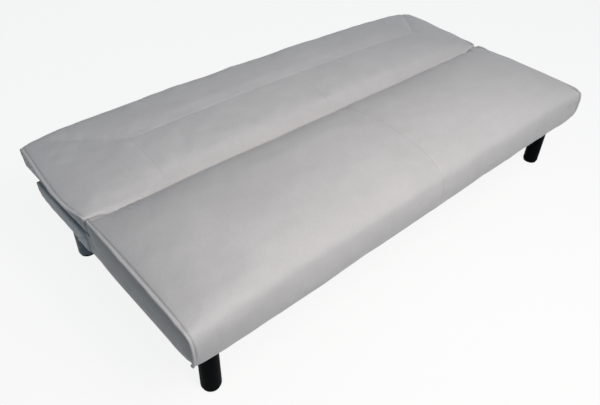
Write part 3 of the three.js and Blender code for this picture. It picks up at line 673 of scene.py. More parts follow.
def uneven(points):
    """Points of the seat, with its right end a little lower and nearer than its left one, but not
    over the hinge, and with that end's front corner hanging straighter."""
    across, back, up = (fade(points[..., i], *reach) for i, reach in enumerate(RIGHT_TOP_REACH))
    shown = across * (1 - back) * up
    across, back, up = (fade(points[..., i], *reach) for i, reach in enumerate(RIGHT_CORNER_REACH))
    hangs = across * (1 - back) * (1 - up)
    return (points + shown[..., None] * np.array(RIGHT_TOP_SHIFT)
            + hangs[..., None] * np.array(RIGHT_CORNER_SHIFT))


def straight(*corners, step=0.03):
    """Points along straight lines between corners."""
    return evenly(np.array(corners, float), step)


def shares(spots):
    """Shares of the half length for the columns of a cover, closer together near the given places."""
    ends = [(side, tuple(-side * o / INNER_END_X for o in NEAR_END)) for _, side in SIDES]
    spots = [(centre / INNER_END_X, tuple(o / INNER_END_X for o in offsets)) for centre, offsets in spots]
    return stations(-1.0, 1.0, sizes().mesh_step / INNER_END_X, spots + ends)


def seat_knots():
    """The seat cover's lines, from the front's foot to the crease."""
    return lines_of(SEAT_ROWS, SEAT_EDGE, round_pivot(SEAT_ROLL, sizes().crease_roll), False)


def back_knots():
    """The back cover's lines, from the crease to the rear's foot."""
    roll = round_pivot(BACK_ROLL, sizes().crease_roll + ROLL_GAP)
    return lines_of(BACK_ROWS, BACK_EDGE, roll, True)


def seat_grid():
    """The seat cover's loops of points, and how many of each lie outside."""
    def spots(fine, run):
        """Where the lines need more points: round the crease."""
        return [(run[-1] - 0.030, spaced(0.003, -14, 10))]

    inner = straight(
        (SEAT_REAR_Y, 0.2990), (SEAT_REAR_Y, DECK_TOP), (FRONT_RAIL_Y, DECK_TOP),
        (FRONT_RAIL_Y, FRAME_BOTTOM),
    )
    folds = spaced(0.003, -31, 31)
    share = shares([(SEAT_SEAM_X, NEAR_SEAM), (-0.745, folds)])
    grid, outer = cover_grid(
        seat_knots(), spots, inner, share, crown_at(share, *SEAT_CROWN),
        crown_at(share, *SEAT_FRONT_CROWN))
    grid = tuck(soften(grid, outer, 11), outer)
    grid = uneven(grid)
    gap = np.abs(grid[..., 0] - SEAT_SEAM_X)
    along = np.broadcast_to(grid[..., 1] + grid[..., 2], gap.shape)
    seams = [(gap, along, fade(grid[..., 2], *SEAT_SEAM_Z))]
    grid = relax(grid, outer, seams)
    grid = gather(grid, outer, 71)
    return sew(grid, outer, seams), outer


def back_seams():
    """Both ends of each of the back's seams, seen from above."""
    seams = [((BACK_SEAM_X, 0.03), (BACK_SEAM_X, BACK_SEAM_Y)),
             ((-BACK_BAND_X["left"], BACK_SEAM_Y), (BACK_BAND_X["right"], BACK_SEAM_Y))]
    for name, side in SIDES:
        band = side * BACK_BAND_X[name]
        seams.append(((band, BACK_SEAM_Y), (side * BACK_CORNER[0], BACK_CORNER[1])))
        seams.append(((band, BACK_SEAM_Y), (band, 0.03)))
    return seams


def back_grid():
    """The back cover's loops of points, and how many of each lie outside."""
    def spots(fine, run):
        """Where the lines need more points: the crease, the inner seam, the band and the rear."""
        seam = run[np.argmin(np.abs(fine[:, 5] - BACK_SEAM_Y))]
        return [
            (0.0, spaced(0.003, 0, 8)),
            (seam, NEAR_SEAM),
            (seam + 0.16, spaced(0.005, -28, 29)),
            (run[-1] - 0.08, spaced(0.004, -12, 13)),
        ]

    inner = straight(
        (BACK_RAIL_REAR_Y, 0.2802), (BACK_RAIL_REAR_Y, BACK_BOTTOM), (CREASE_Y + 0.012, BACK_BOTTOM),
    )
    columns = [(BACK_SEAM_X, NEAR_SEAM)]
    for name, side in SIDES:
        columns.append((side * BACK_MITRE_X, spaced(0.005, -17, 17)))
        columns.append((side * BACK_BAND_X[name], NEAR_SEAM))
    share = shares(columns)
    grid, outer = cover_grid(back_knots(), spots, inner, share, crown_at(share, *BACK_CROWN))
    grid = tuck(soften(grid, outer, 23), outer)
    seams = []
    for (a, b), (_, depth) in zip(back_seams(), BACK_SEAMS):
        gap, along = away_from(grid, a, b)
        seams.append((gap, along, depth * fade(grid[..., 2], *BACK_SEAM_Z)))
    return sew(relax(grid, outer, seams), outer, seams), outer


# Sewn edges in the seams: the distance of their points, and how far they lie above the cover. The
# seat's leaves out the first and last points of the cover's line, and those of the back start
# behind the crease and stop just short of their rear ends.

SEAM_STEP = 0.006
SEAM_LIFT = 0.0001
SEAT_SEAM_FIRST = 2
SEAT_SEAM_LAST = 14
BACK_SEAM_FRONT_Y = 0.055
BACK_SEAM_SHARE = 0.985


def drape(tree, places, lift):
    """Points of a line laid on a cover, a little above it."""
    line = []
    for x, y in places:
        spot, normal, _, _ = tree.ray_cast(Vector((x, y, 1.0)), Vector((0.0, 0.0, -1.0)))
        if spot is not None:
            line.append(spot + normal * lift)
    return np.array(line)


def tree_of(points, faces):
    """A cover's surface, for finding what lies under a place."""
    return BVHTree.FromPolygons([Vector(p) for p in points], [f for f in faces if len(f) == 4])


# Finishes

class Nodes:
    """The nodes of a material or of the surroundings."""

    def __init__(self, owner):
        owner.use_nodes = True
        self.tree = owner.node_tree

    def node(self, kind, **settings):
        """A new node. A setting is one of its own, or else the value of one of its sockets."""
        made = self.tree.nodes.new(kind)
        for key, value in settings.items():
            if hasattr(made, key):
                setattr(made, key, value)
            else:
                made.inputs[key.replace("_", " ")].default_value = value
        return made

    def link(self, source, target):
        """Leads an output into an input."""
        self.tree.links.new(source, target)

    def spread(self, value, low, high, to_low=0.0, to_high=1.0):
        """A value moved from one range to another."""
        made = self.node(
            "ShaderNodeMapRange", From_Min=low, From_Max=high, To_Min=to_low, To_Max=to_high)
        self.link(value, made.inputs["Value"])
        return made.outputs["Result"]

    def any_ray(self, *kinds):
        """1 for rays of the given kinds, and 0 for all others."""
        path = self.node("ShaderNodeLightPath")
        value = path.outputs[kinds[0]]
        for kind in kinds[1:]:
            either = self.node("ShaderNodeMath", operation="MAXIMUM")
            self.link(value, either.inputs[0])
            self.link(path.outputs[kind], either.inputs[1])
            value = either.outputs["Value"]
        return value

    def mixed(self, share, first, second):
        """Two shaders mixed by a share."""
        made = self.node("ShaderNodeMixShader")
        for source, socket in ((share, "Fac"), (first, 1), (second, 2)):
            self.link(source, made.inputs[socket])
        return made.outputs["Shader"]


def colour_sockets(sockets):
    """The sockets that take or give a colour."""
    return [socket for socket in sockets if socket.type == "RGBA"]


class Finish(Nodes):
    """A material of a colour, with the pattern, gloss and relief that are added to it."""

    def __init__(self, name, colour, roughness, **sockets):
        self.material = bpy.data.materials.new(name)
        super().__init__(self.material)
        self.shader = self.tree.nodes["Principled BSDF"]
        self.colour = (*colour, 1.0)
        self.shader.inputs["Base Color"].default_value = self.colour
        self.shader.inputs["Roughness"].default_value = roughness
        for socket, value in sockets.items():
            self.shader.inputs[socket.replace("_", " ")].default_value = value
        self.place = self.node("ShaderNodeTexCoord").outputs["Object"]

    def stretched(self, x, y, z):
        """The place, drawn out along an axis by a small number."""
        mapping = self.node("ShaderNodeMapping")
        mapping.inputs["Scale"].default_value = (x, y, z)
        self.link(self.place, mapping.inputs["Vector"])
        return mapping.outputs["Vector"]

    def noise(self, scale, detail=3.0, roughness=0.5, place=None, distortion=0.0):
        """Soft patches. The larger the scale, the smaller they are."""
        made = self.node(
            "ShaderNodeTexNoise", Scale=scale, Detail=detail, Roughness=roughness, Distortion=distortion)
        self.link(place or self.place, made.inputs["Vector"])
        return made.outputs["Fac"]

    def cells(self, scale, feature="F1", smooth=None):
        """Small cells, dark in their middles."""
        made = self.node("ShaderNodeTexVoronoi", feature=feature, Scale=scale)
        if smooth is not None:
            made.inputs["Smoothness"].default_value = smooth
        self.link(self.place, made.inputs["Vector"])
        return made.outputs["Distance"]

    def sum(self, a, b, weight=1.0):
        """The first value and a weighted second one."""
        made = self.node("ShaderNodeMath", operation="MULTIPLY_ADD")
        self.link(b, made.inputs[0])
        made.inputs[1].default_value = weight
        self.link(a, made.inputs[2])
        return made.outputs["Value"]

    def tint(self, factor, light, dark):
        """Mixes between two shades of the material's colour by a factor."""
        made = self.node("ShaderNodeMix", data_type="RGBA")
        for socket, shade in zip(colour_sockets(made.inputs), (dark, light)):
            socket.default_value = (*(min(1.0, c * shade) for c in self.colour[:3]), 1.0)
        self.link(factor, made.inputs["Factor"])
        return colour_sockets(made.outputs)[0]

    def darken(self, colour, factor):
        """Multiplies a colour by a shade."""
        made = self.node("ShaderNodeMix", data_type="RGBA", blend_type="MULTIPLY")
        made.inputs["Factor"].default_value = 1.0
        for source, socket in zip((colour, factor), colour_sockets(made.inputs)):
            self.link(source, socket)
        return colour_sockets(made.outputs)[0]

    def paint(self, colour):
        """Colours the material."""
        self.link(colour, self.shader.inputs["Base Color"])

    def gloss(self, value):
        """Makes the material duller where the value is high."""
        self.link(value, self.shader.inputs["Roughness"])

    def bump(self, height, strength, distance):
        """Gives the material a relief."""
        made = self.node("ShaderNodeBump", Strength=strength, Distance=distance)
        self.link(height, made.inputs["Height"])
        self.link(made.outputs["Normal"], self.shader.inputs["Normal"])


def leatherette(name, colour):
    """Coated cloth with a fine pebbled grain and faint patches."""
    finish = Finish(name, colour, 0.5, Specular_IOR_Level=0.3, Sheen_Weight=0.06, Sheen_Roughness=0.4)
    pebbles = finish.cells(620, feature="SMOOTH_F1", smooth=0.5)
    fine = finish.noise(1500, 2.0)
    broad = finish.noise(7, 4.0, 0.6)
    patches = finish.noise(42, 3.0)
    shade = finish.sum(broad, patches, 0.35)
    tone = finish.tint(finish.spread(shade, 0.45, 0.95), 1.03, 0.955)
    mottle = finish.noise(150, 2.0)
    grain = finish.sum(
        finish.spread(pebbles, 0.1, 0.75, 1.0, 0.93), finish.spread(mottle, 0.3, 0.7, -0.02, 0.02))
    finish.paint(finish.darken(tone, grain))
    finish.gloss(finish.spread(finish.sum(patches, fine, 0.4), 0.35, 1.05, 0.43, 0.58))
    height = finish.sum(finish.spread(pebbles, 0.0, 0.8, 1.0, 0.0), fine, 0.25)
    height = finish.sum(height, mottle, 2.0)
    finish.bump(height, 0.28, 0.0004)
    return finish.material


def lining_cloth(name, colour):
    """Black bonded cloth with fibres and small dots."""
    finish = Finish(name, colour, 0.92, Specular_IOR_Level=0.15, Sheen_Weight=0.15)
    fibres = finish.noise(900, 5.0, 0.75, distortion=0.6)
    dots = finish.cells(330)
    finish.paint(finish.tint(finish.spread(fibres, 0.3, 0.7), 1.5, 0.7))
    finish.bump(finish.sum(fibres, dots, -0.8), 0.5, 0.0004)
    return finish.material


def moulded(name, colour, roughness, shine):
    """Plastic with a fine texture and long scuffs."""
    finish = Finish(name, colour, roughness, Specular_IOR_Level=shine)
    texture = finish.noise(1100, 3.0)
    scuffs = finish.noise(60, 6.0, 0.75, place=finish.stretched(1, 1, 0.25))
    finish.paint(finish.tint(finish.spread(scuffs, 0.3, 0.8), 1.25, 0.85))
    finish.gloss(finish.spread(scuffs, 0.35, 0.75, roughness - 0.06, roughness + 0.1))
    finish.bump(texture, 0.12, 0.0003)
    return finish.material


def wood(name, colour, grain_axis, plain=False):
    """Sawn wood whose grain runs along an axis."""
    finish = Finish(name, colour, 0.62, Specular_IOR_Level=0.3)
    draw = [1.0, 1.0, 1.0]
    draw[grain_axis] = 0.06
    along = finish.stretched(*draw)
    rings = finish.noise(95, 4.0, 0.6, place=along, distortion=0.35)
    fibres = finish.noise(900, 3.0, 0.6, place=along)
    broad = finish.noise(18, 2.0, 0.5, place=along)
    shade = finish.sum(finish.sum(rings, fibres, 0.35), broad, 0.5)
    finish.paint(finish.tint(finish.spread(shade, 0.7, 1.15), 1.22, 0.62 if not plain else 0.85))
    finish.gloss(finish.spread(rings, 0.3, 0.7, 0.52, 0.74))
    finish.bump(finish.sum(fibres, rings, 0.5), 0.25, 0.0005)
    return finish.material


def pressed_board(name, colour):
    """Hardboard with fine flecks."""
    finish = Finish(name, colour, 0.7, Specular_IOR_Level=0.3)
    flecks = finish.noise(420, 5.0, 0.7)
    broad = finish.noise(14, 3.0)
    finish.paint(finish.tint(finish.spread(finish.sum(flecks, broad, 0.5), 0.5, 1.0), 1.35, 0.7))
    finish.bump(flecks, 0.2, 0.0004)
    return finish.material


def zinc_plated(name, colour):
    """Plated steel with spangle and brushed streaks."""
    finish = Finish(name, colour, 0.38, Metallic=1.0)
    spangle = finish.cells(260)
    streaks = finish.noise(500, 4.0, 0.7, place=finish.stretched(1.0, 0.05, 1.0))
    finish.paint(finish.tint(finish.spread(finish.sum(streaks, spangle, 0.4), 0.4, 0.9), 1.12, 0.82))
    finish.gloss(finish.spread(streaks, 0.3, 0.7, 0.3, 0.5))
    finish.bump(streaks, 0.08, 0.0002)
    return finish.material


def steel(name, colour, roughness, metallic):
    """Painted or bare steel, a little worn."""
    finish = Finish(name, colour, roughness, Metallic=metallic)
    worn = finish.noise(160, 6.0, 0.7)
    finish.paint(finish.tint(finish.spread(worn, 0.35, 0.75), 1.6, 0.8))
    finish.gloss(finish.spread(worn, 0.3, 0.7, roughness - 0.08, roughness + 0.12))
    finish.bump(worn, 0.06, 0.0002)
    return finish.material


FINISHES = {}


def finish_of(name):
    """Each finish is made once and shared by its pieces."""
    if name in FINISHES:
        return FINISHES[name]
    tone = colours()
    makers = {
        "cover leatherette": lambda: leatherette(name, tone.cover),
        # Painted shade: this finish is darker than the cover's.
        "end leatherette with painted shade": lambda: leatherette(name, tone.end),
        # Painted light: this finish is lighter than the cover's.
        "frame leatherette with painted light": lambda: leatherette(name, tone.wrap),
        # Painted highlight: this finish is lighter than the cover's.
        "sewn edge with painted highlight": lambda: leatherette(name, tone.seam),
        "lining cloth": lambda: lining_cloth(name, tone.lining),
        "front leg plastic": lambda: moulded(name, tone.front_leg, 0.45, 0.008),
        "rear leg plastic": lambda: moulded(name, tone.rear_leg, 0.45, 0.12),
        "glide plastic": lambda: moulded(name, tone.glide, 0.6, 0.05),
        "timber along": lambda: wood(name, tone.timber, 0),
        "timber across": lambda: wood(name, tone.timber, 1),
        "timber block": lambda: wood(name, tone.timber, 2),
        "plywood": lambda: wood(name, tone.plywood, 0, plain=True),
        "hardboard": lambda: pressed_board(name, tone.hardboard),
        "zinc plate": lambda: zinc_plated(name, tone.zinc),
        "black steel": lambda: steel(name, tone.black_steel, 0.4, 0.0),
        "spring steel": lambda: steel(name, tone.spring, 0.28, 1.0),
    }
    FINISHES[name] = makers[name]()
    return FINISHES[name]


def refinish(nodes, name):
    """Gives CAD nodes a finish in place of their plain one."""
    for node in nodes:
        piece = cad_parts[node]
        for slot in piece.material_slots:
            slot.material = finish_of(name)


class SOFABED_OT_seat_cover(bpy.types.Operator):
    """Crowned seat cushion in its cover, with the sewn edge across its middle"""
    bl_idname = "sofa_bed.seat_cover"
    bl_label = "Seat cover"

    def execute(self, context):
        grid, outer = seat_grid()
        points, faces = skin(grid)
        cover = make_piece(
            "seat_cover", points, faces, "cover leatherette", "base",
            ["seat_cushion"],
        )
        keep_sharp(cover, 75)
        column = np.argmin(np.abs(grid[:, outer // 2, 0] - SEAT_SEAM_X))
        shown = slice(SEAT_SEAM_FIRST, outer - SEAT_SEAM_LAST)
        seam = grid[column, shown] + normals_of(grid)[column, shown] * SEAM_LIFT
        points, faces = rope(evenly(seam, SEAM_STEP), sizes().seam_radius, sides=6, flat=0.5)
        # The sewn edge takes the leatherette that is lightened as a painted highlight.
        make_piece("seat_centre_seam", points, faces, "sewn edge with painted highlight", "base")
        return {"FINISHED"}


class SOFABED_OT_back_cover(bpy.types.Operator):
    """Crowned back cushion in its cover, with a mitred band round its inner panels"""
    bl_idname = "sofa_bed.back_cover"
    bl_label = "Back cover"

    def execute(self, context):
        grid, _ = back_grid()
        points, faces = skin(grid)
        cover = make_piece(
            "back_cover", points, faces, "cover leatherette", "back",
            ["back_cushion"],
        )
        keep_sharp(cover, 75)
        tree = tree_of(points, faces)
        for (name, _), (a, b) in zip(BACK_SEAMS, back_seams()):
            a, b = (np.array((x, max(y, BACK_SEAM_FRONT_Y))) for x, y in (a, b))
            count = math.ceil(np.linalg.norm(b - a) / SEAM_STEP) + 1
            places = a + np.linspace(0, BACK_SEAM_SHARE, count)[:, None] * (b - a)
            points, faces = rope(drape(tree, places, SEAM_LIFT), sizes().seam_radius, sides=6, flat=0.5)
            # Each sewn edge takes the leatherette that is lightened as a painted highlight.
            make_piece(name, points, faces, "sewn edge with painted highlight", "back")
        return {"FINISHED"}


# The hinge cap's radius and reach along the bed, from its rim to its middle

HINGE_CAP = (
    (0.0116, 0.8400), (0.0117, 0.8425), (0.0115, 0.8445), (0.0109, 0.8458), (0.0098, 0.8467),
    (0.0075, 0.8473), (0.0045, 0.8476), (0.0015, 0.8477),
)
HINGE_CAP_FOLD = 0.0004

# How far the ends lie out of their seams, and how far in from its edges each has swollen

END_OUT = 0.0005
SEAT_END_SOFT = 0.045
BACK_END_SOFT = 0.03

# How a seat end goes on behind its seam: round the crease, down to the side rail's step, along it
# and down behind it. Its bottom edge waves by a height, at a place and over a width, and its
# lower part is drawn in.

SEAT_TAIL_TOP = ((0.0205, 0.3282), (0.0275, 0.3255), (0.0298, 0.3190))
SEAT_TAIL_Y = (0.0298, 0.0320)
SEAT_TAIL_Z = (0.3140, 0.212)
SEAT_BOTTOM_FRONT_Y = -0.4145
SEAT_BOTTOM_WAVES = ((0.002, -0.388, 0.012), (-0.002, -0.345, 0.025))
SEAT_END_DRAW = 0.0022

# How a back end starts before its seam, at the crease, its bottom edge, where that lies along the
# bed, and the height over which the end comes out from there to its seam

BACK_HEAD = (
    (0.0340, 0.3034), (0.0375, 0.3045), (0.0405, 0.3072), (0.0425, 0.3110), (0.0433, 0.3150),
    (0.0436, 0.3190), (0.0446, 0.3235), (0.0490, 0.3275),
)
BACK_BOTTOM_Y = (0.0335, 0.4265)
BACK_END_X = 0.8475
BACK_END_RISE = 0.05

# The piping's ends before and behind the seams, how far out of a seam it lies, and its slight
# waves across and up: height, axis, size and seed

SEAT_PIPING_START = ((0.8466, -0.4075, 0.1995), (0.8474, -0.4110, 0.2015))
SEAT_PIPING_END = ((0.8497, 0.0212, 0.3288), (0.8475, 0.0272, 0.3262), (0.8430, 0.0296, 0.3200))
BACK_PIPING_START = ((0.8470, 0.0437, 0.3150), (0.8490, 0.0440, 0.3225), (0.8508, 0.0462, 0.3277))
PIPING_OUT = (0.0012, 0, 0)
PIPING_WAVES = ((0.0006, 0, 0.07, 81), (0.0007, 2, 0.08, 91))
PIPING_CORNER_SHIFT = (0.0024, 0.0, 0.0020)


def end_seam(knots):
    """The line of a cushion's end seam as [x, y, z] points."""
    return evenly(spline(np.asarray(knots)[:, [2, 0, 1]], 0.001), 0.006)


def ruled_to(top, start, end, height, along_share):
    """Points on a level line that stand under those of a panel's top line."""
    run = run_of(top) / run_of(top)[-1]
    share = (top[:, 0] - top[:, 0].min()) / np.ptp(top[:, 0])
    share = np.maximum.accumulate(share) * (1 - along_share) + along_share * run
    return np.column_stack([start + (end - start) * share, np.full(len(top), height)])


def make_ends(part, body, shape):
    """Both padded ends of the seat or of the back, from the shape of the right one."""
    for name, side in SIDES:
        points, faces = mirrored(*shape, side)
        if part == "seat":
            points = uneven(points)
        # The ends take the leatherette that is darkened as painted shade.
        panel = make_piece(
            f"{part}_end_{name}", points, faces, "end leatherette with painted shade", body,
            [f"{part}_end_board_{name}"],
        )
        keep_sharp(panel, 60)


class SOFABED_OT_ends(bpy.types.Operator):
    """Padded ends of the seat and of the back section"""
    bl_idname = "sofa_bed.ends"
    bl_label = "Padded ends"

    def execute(self, context):
        bulge = sizes().end_bulge
        seam = end_seam(SEAT_ROWS)
        tail = np.vstack([
            spline([seam[-1, 1:], *SEAT_TAIL_TOP], 0.004)[1:],
            straight((SEAT_TAIL_Y[0], SEAT_TAIL_Z[0]), (SEAT_TAIL_Y[0], STEP_Z + 0.004), step=0.008),
            straight((SEAT_TAIL_Y[1], STEP_Z), (SIDE_RAIL_REAR_Y - 0.002, STEP_Z), step=0.008),
            straight((SIDE_RAIL_REAR_Y, STEP_Z - 0.004), (SIDE_RAIL_REAR_Y, SEAT_TAIL_Z[1]), step=0.008),
        ])
        top = np.vstack([seam[1:, 1:], tail])
        reach = np.concatenate([seam[1:, 0], np.full(len(tail), seam[-1, 0])])
        bottom = ruled_to(top, SEAT_BOTTOM_FRONT_Y, SIDE_RAIL_REAR_Y, FRAME_BOTTOM, 0.2)
        for height, middle, width in SEAT_BOTTOM_WAVES:
            bottom[:, 1] += height * np.exp(-(((bottom[:, 0] - middle) / width) ** 2))
        shape = padded_board(top, bottom, reach + END_OUT, PANEL_INNER_X, bulge, SEAT_END_SOFT)
        points = shape[0]
        outer = points[:, 0] > PANEL_INNER_X + 1e-6
        points[outer, 0] -= SEAT_END_DRAW * (1 - fade(points[outer, 2], FRAME_BOTTOM, 0.3))
        make_ends("seat", "base", shape)

        seam = end_seam(BACK_ROWS[1:])
        head = spline([*BACK_HEAD, seam[0, 1:]], 0.004)[:-1]
        top = np.vstack([head, seam[:-2, 1:]])
        reach = np.concatenate([np.linspace(BACK_END_X, seam[0, 0], len(head)), seam[:-2, 0]])
        bottom = ruled_to(top, *BACK_BOTTOM_Y, BACK_UNDERSIDE, 0.1)
        shape = padded_board(top, bottom, reach + END_OUT, PANEL_INNER_X, 0, BACK_END_SOFT)
        points = shape[0]
        outer = points[:, 0] > PANEL_INNER_X + 1e-6
        height = np.clip((points[outer, 2] - BACK_UNDERSIDE) / BACK_END_RISE, 0, 1)
        points[outer, 0] = BACK_END_X + (points[outer, 0] - BACK_END_X) * height ** 0.7
        make_ends("back", "back", shape)
        return {"FINISHED"}


class SOFABED_OT_hinge_caps(bpy.types.Operator):
    """Leatherette sewn over each hinge, round the pivot"""
    bl_idname = "sofa_bed.hinge_caps"
    bl_label = "Hinge caps"

    def execute(self, context):
        turn = np.linspace(0, 2 * math.pi, 40, endpoint=False)
        rings = []
        for radius, reach in HINGE_CAP:
            fold = HINGE_CAP_FOLD * np.sin(3 * turn + 0.6) * radius / HINGE_CAP[0][0]
            rings.append(np.column_stack([
                reach + fold, CREASE_Y + radius * np.cos(turn), PIVOT_Z + radius * np.sin(turn)]))
        shape = skin(np.array(rings))
        for name, side in SIDES:
            points, faces = mirrored(*shape, side)
            # The caps take the ends' leatherette, darkened as painted shade.
            make_piece(f"seat_hinge_cap_{name}", points, faces, "end leatherette with painted shade", "base")
        return {"FINISHED"}


class SOFABED_OT_piping(bpy.types.Operator):
    """Piping sewn in round the ends of the seat and of the back section"""
    bl_idname = "sofa_bed.piping"
    bl_label = "Piping"

    def execute(self, context):
        radius = sizes().piping_radius
        seat_path = np.vstack([SEAT_PIPING_START, end_seam(SEAT_ROWS) + PIPING_OUT, SEAT_PIPING_END])
        back_path = np.vstack([BACK_PIPING_START, end_seam(BACK_ROWS[1:]) + PIPING_OUT])
        for part, body, path in (("seat", "base", seat_path), ("back", "back", back_path)):
            path = evenly(spline(path, 0.002), 0.005)
            run = run_of(path)
            for height, axis, size, seed in PIPING_WAVES:
                path[:, axis] += height * ripples(run, 0 * run, size, len(part) + seed, 9)
            path -= fade(path[:, 1], *REAR_CORNER_Y)[:, None] * np.array(PIPING_CORNER_SHIFT)
            shape = rope(path, radius)
            for name, side in SIDES:
                points, faces = mirrored(*shape, side)
                if part == "seat":
                    points = uneven(points)
                make_piece(
                    f"{part}_piping_{name}", points, faces, "cover leatherette", body,
                )
        return {"FINISHED"}


# The rear frame's cover in section: how far out of the frame's side it lies, and how high. The
# first line is over the ends, the second over the rear, whose bottom corner is round.

WRAP_ENDS = (
    (-0.0280, 0.2506), (-0.0120, 0.2507), (-0.0030, 0.2507), (0.0006, 0.2499), (0.0017, 0.2475),
    (0.0022, 0.2400), (0.0024, 0.2280), (0.0022, 0.2160), (0.0016, 0.2085), (0.0004, 0.2050),
    (-0.0020, 0.2038), (-0.0080, 0.2036), (-0.0140, 0.2036),
)
WRAP_REAR = (
    (-0.0280, 0.2506), (-0.0120, 0.2507), (-0.0030, 0.2507), (0.0001, 0.2500), (0.0004, 0.2475),
    (0.0006, 0.2400), (0.0006, 0.2300), (0.0003, 0.2205), (-0.0022, 0.2125), (-0.0070, 0.2068),
    (-0.0130, 0.2042), (-0.0190, 0.2036), (-0.0240, 0.2036),
)
WRAP_THICKNESS = 0.0011
WRAP_LINE_POINTS = 40
WRAP_COLUMNS = 86

# The share of an end's length over which its section turns into the rear's, the heights between
# which its side is flat, and its slight waves: height and size

WRAP_CORNER = (0.85, 1.0)
WRAP_FACE_Z = ((0.2045, 0.208), (0.246, 0.25))
WRAP_WAVES = (0.0006, 0.06)

# How the cover turns in at its front edges: steps inward, and forwards

WRAP_TURN_IN = (0.0015, 0.004, 0.008)
WRAP_TURN_FRONT = -0.0004

# The fold that the cover has on each end: its height, where its edge starts, the steps from
# there to a second place on the edge, and how far it fades behind the edge and before it

FLAP_HEIGHT = 0.0042
FLAP_START = (0.062, 0.252)
FLAP_STEPS = (0.058, 0.045)
FLAP_FADE = (0.05, 0.0022)


class SOFABED_OT_rear_frame_cover(bpy.types.Operator):
    """Leatherette stapled round the low frame behind the seat, with a fold at each front corner"""
    bl_idname = "sofa_bed.rear_frame_cover"
    bl_label = "Rear frame cover"

    def execute(self, context):
        ends, rear = (
            at_places(line, run_of(line), np.linspace(0, run_of(line)[-1], WRAP_LINE_POINTS))
            for line in (evenly(spline(WRAP_ENDS, 0.0005), 0.0035), spline(WRAP_REAR, 0.0005)))
        along_end = stations(0.0, 1.0, 0.03, [(0.1, spaced(0.01, -10, 18))])
        columns = []
        for place in along_end:
            corner = fade(place, *WRAP_CORNER)
            out, height = (ends * (1 - corner) + rear * corner).T
            y = BLOCK_FRONT_Y + place * (BLOCK_REAR_Y + out - BLOCK_FRONT_Y)
            face = fade(height, *WRAP_FACE_Z[0]) * (1 - fade(height, *WRAP_FACE_Z[1]))
            past = (y - FLAP_START[0]) * FLAP_STEPS[1] - (FLAP_START[1] - height) * FLAP_STEPS[0]
            past = past / math.hypot(*FLAP_STEPS)
            behind = np.clip(1 + past / FLAP_FADE[0], 0, 1)
            flap = np.where(past < 0, behind, np.exp(-((past / FLAP_FADE[1]) ** 2)))
            lift = FLAP_HEIGHT * flap * face
            x = BLOCK_X + out + lift + WRAP_WAVES[0] * ripples(y, height, WRAP_WAVES[1], 5, 12) * face
            columns.append(np.column_stack([-x, y, height]))
        edge = columns[0]
        for inward in WRAP_TURN_IN:
            turned = edge + (inward, WRAP_TURN_FRONT, 0)
            turned[:, 0] = np.minimum(turned[:, 0], np.maximum(edge[:, 0], -PANEL_INNER_X))
            columns.insert(0, turned)
        for place in np.linspace(-1, 1, WRAP_COLUMNS)[1:-1]:
            out, height = rear.T
            columns.append(np.column_stack([place * (BLOCK_X + out), BLOCK_REAR_Y + out, height]))
        left_end = columns[:len(WRAP_TURN_IN) + len(along_end)]
        right_end = [column * (-1, 1, 1) for column in reversed(left_end)]
        points, faces = cloth_of(np.array(columns + right_end), WRAP_THICKNESS)
        # The cover takes the leatherette that is lightened as painted light.
        wrap = make_piece(
            "rear_frame_cover", points, faces, "frame leatherette with painted light", "base")
        keep_sharp(wrap, 50)
        return {"FINISHED"}


class SOFABED_OT_legs(bpy.types.Operator):
    """Moulded legs with their glides and plates"""
    bl_idname = "sofa_bed.legs"
    bl_label = "Legs"

    def execute(self, context):
        for place in ("front", "rear"):
            finishes = {
                "leg": f"{place} leg plastic", "leg_glide": "glide plastic", "leg_plate": "black steel",
            }
            for part, finish in finishes.items():
                refinish([f"{place}_{part}_{name}" for name, _ in SIDES], finish)
        return {"FINISHED"}


# The cloths underneath: how thick they are, the distance of their points, how far each hangs, how
# far the dust cloth is cut away round the leg plates, and where it is stapled behind the crease

UNDER_CLOTH_THICKNESS = 0.0007
UNDER_CLOTH_STEP = 0.02
DUST_CLOTH_SAG = 0.006
LINING_SAG = 0.0012
PLATE_CLEARANCE = 0.008
DUST_CLOTH_HOLD_Y = 0.045


def lines_between(marks):
    """Places from mark to mark, with even steps between."""
    marks = sorted(marks)
    pieces = [
        np.linspace(a, b, max(2, math.ceil((b - a) / UNDER_CLOTH_STEP) + 1))[:-1]
        for a, b in zip(marks[:-1], marks[1:])
    ]
    return np.concatenate([*pieces, marks[-1:]])


def sagging_cloth(x_lines, y_lines, cut_outs, top, sag, hold_x, hold_y):
    """Thin cloth between lines where it is stapled, hanging a little between them."""
    def hang(value, held):
        """0 where the cloth is held and 1 halfway between."""
        drop = np.zeros_like(value)
        for a, b in zip(held[:-1], held[1:]):
            share = np.clip((value - a) / (b - a), 0, 1)
            drop = np.maximum(drop, 4 * share * (1 - share))
        return drop

    x, y = np.meshgrid(x_lines, y_lines, indexing="ij")
    drop = sag * hang(x, hold_x) * hang(y, hold_y) * (1 + 0.25 * ripples(x, y, 0.12, 17))
    upper = np.dstack([x, y, top - drop]).reshape(-1, 3)
    lower = upper - (0, 0, UNDER_CLOTH_THICKNESS)
    quads = []
    for quad in quads_of(*x.shape):
        middle_x, middle_y, _ = upper[list(quad)].mean(axis=0)
        if not any(x0 < middle_x < x1 and y0 < middle_y < y1 for x0, x1, y0, y1 in cut_outs):
            quads.append(quad)
    faces = closed_round(quads, len(upper))
    used = sorted({v for face in faces for v in face})
    place = {v: i for i, v in enumerate(used)}
    points = np.vstack([upper, lower])[used]
    return points, [tuple(place[v] for v in face) for face in faces]


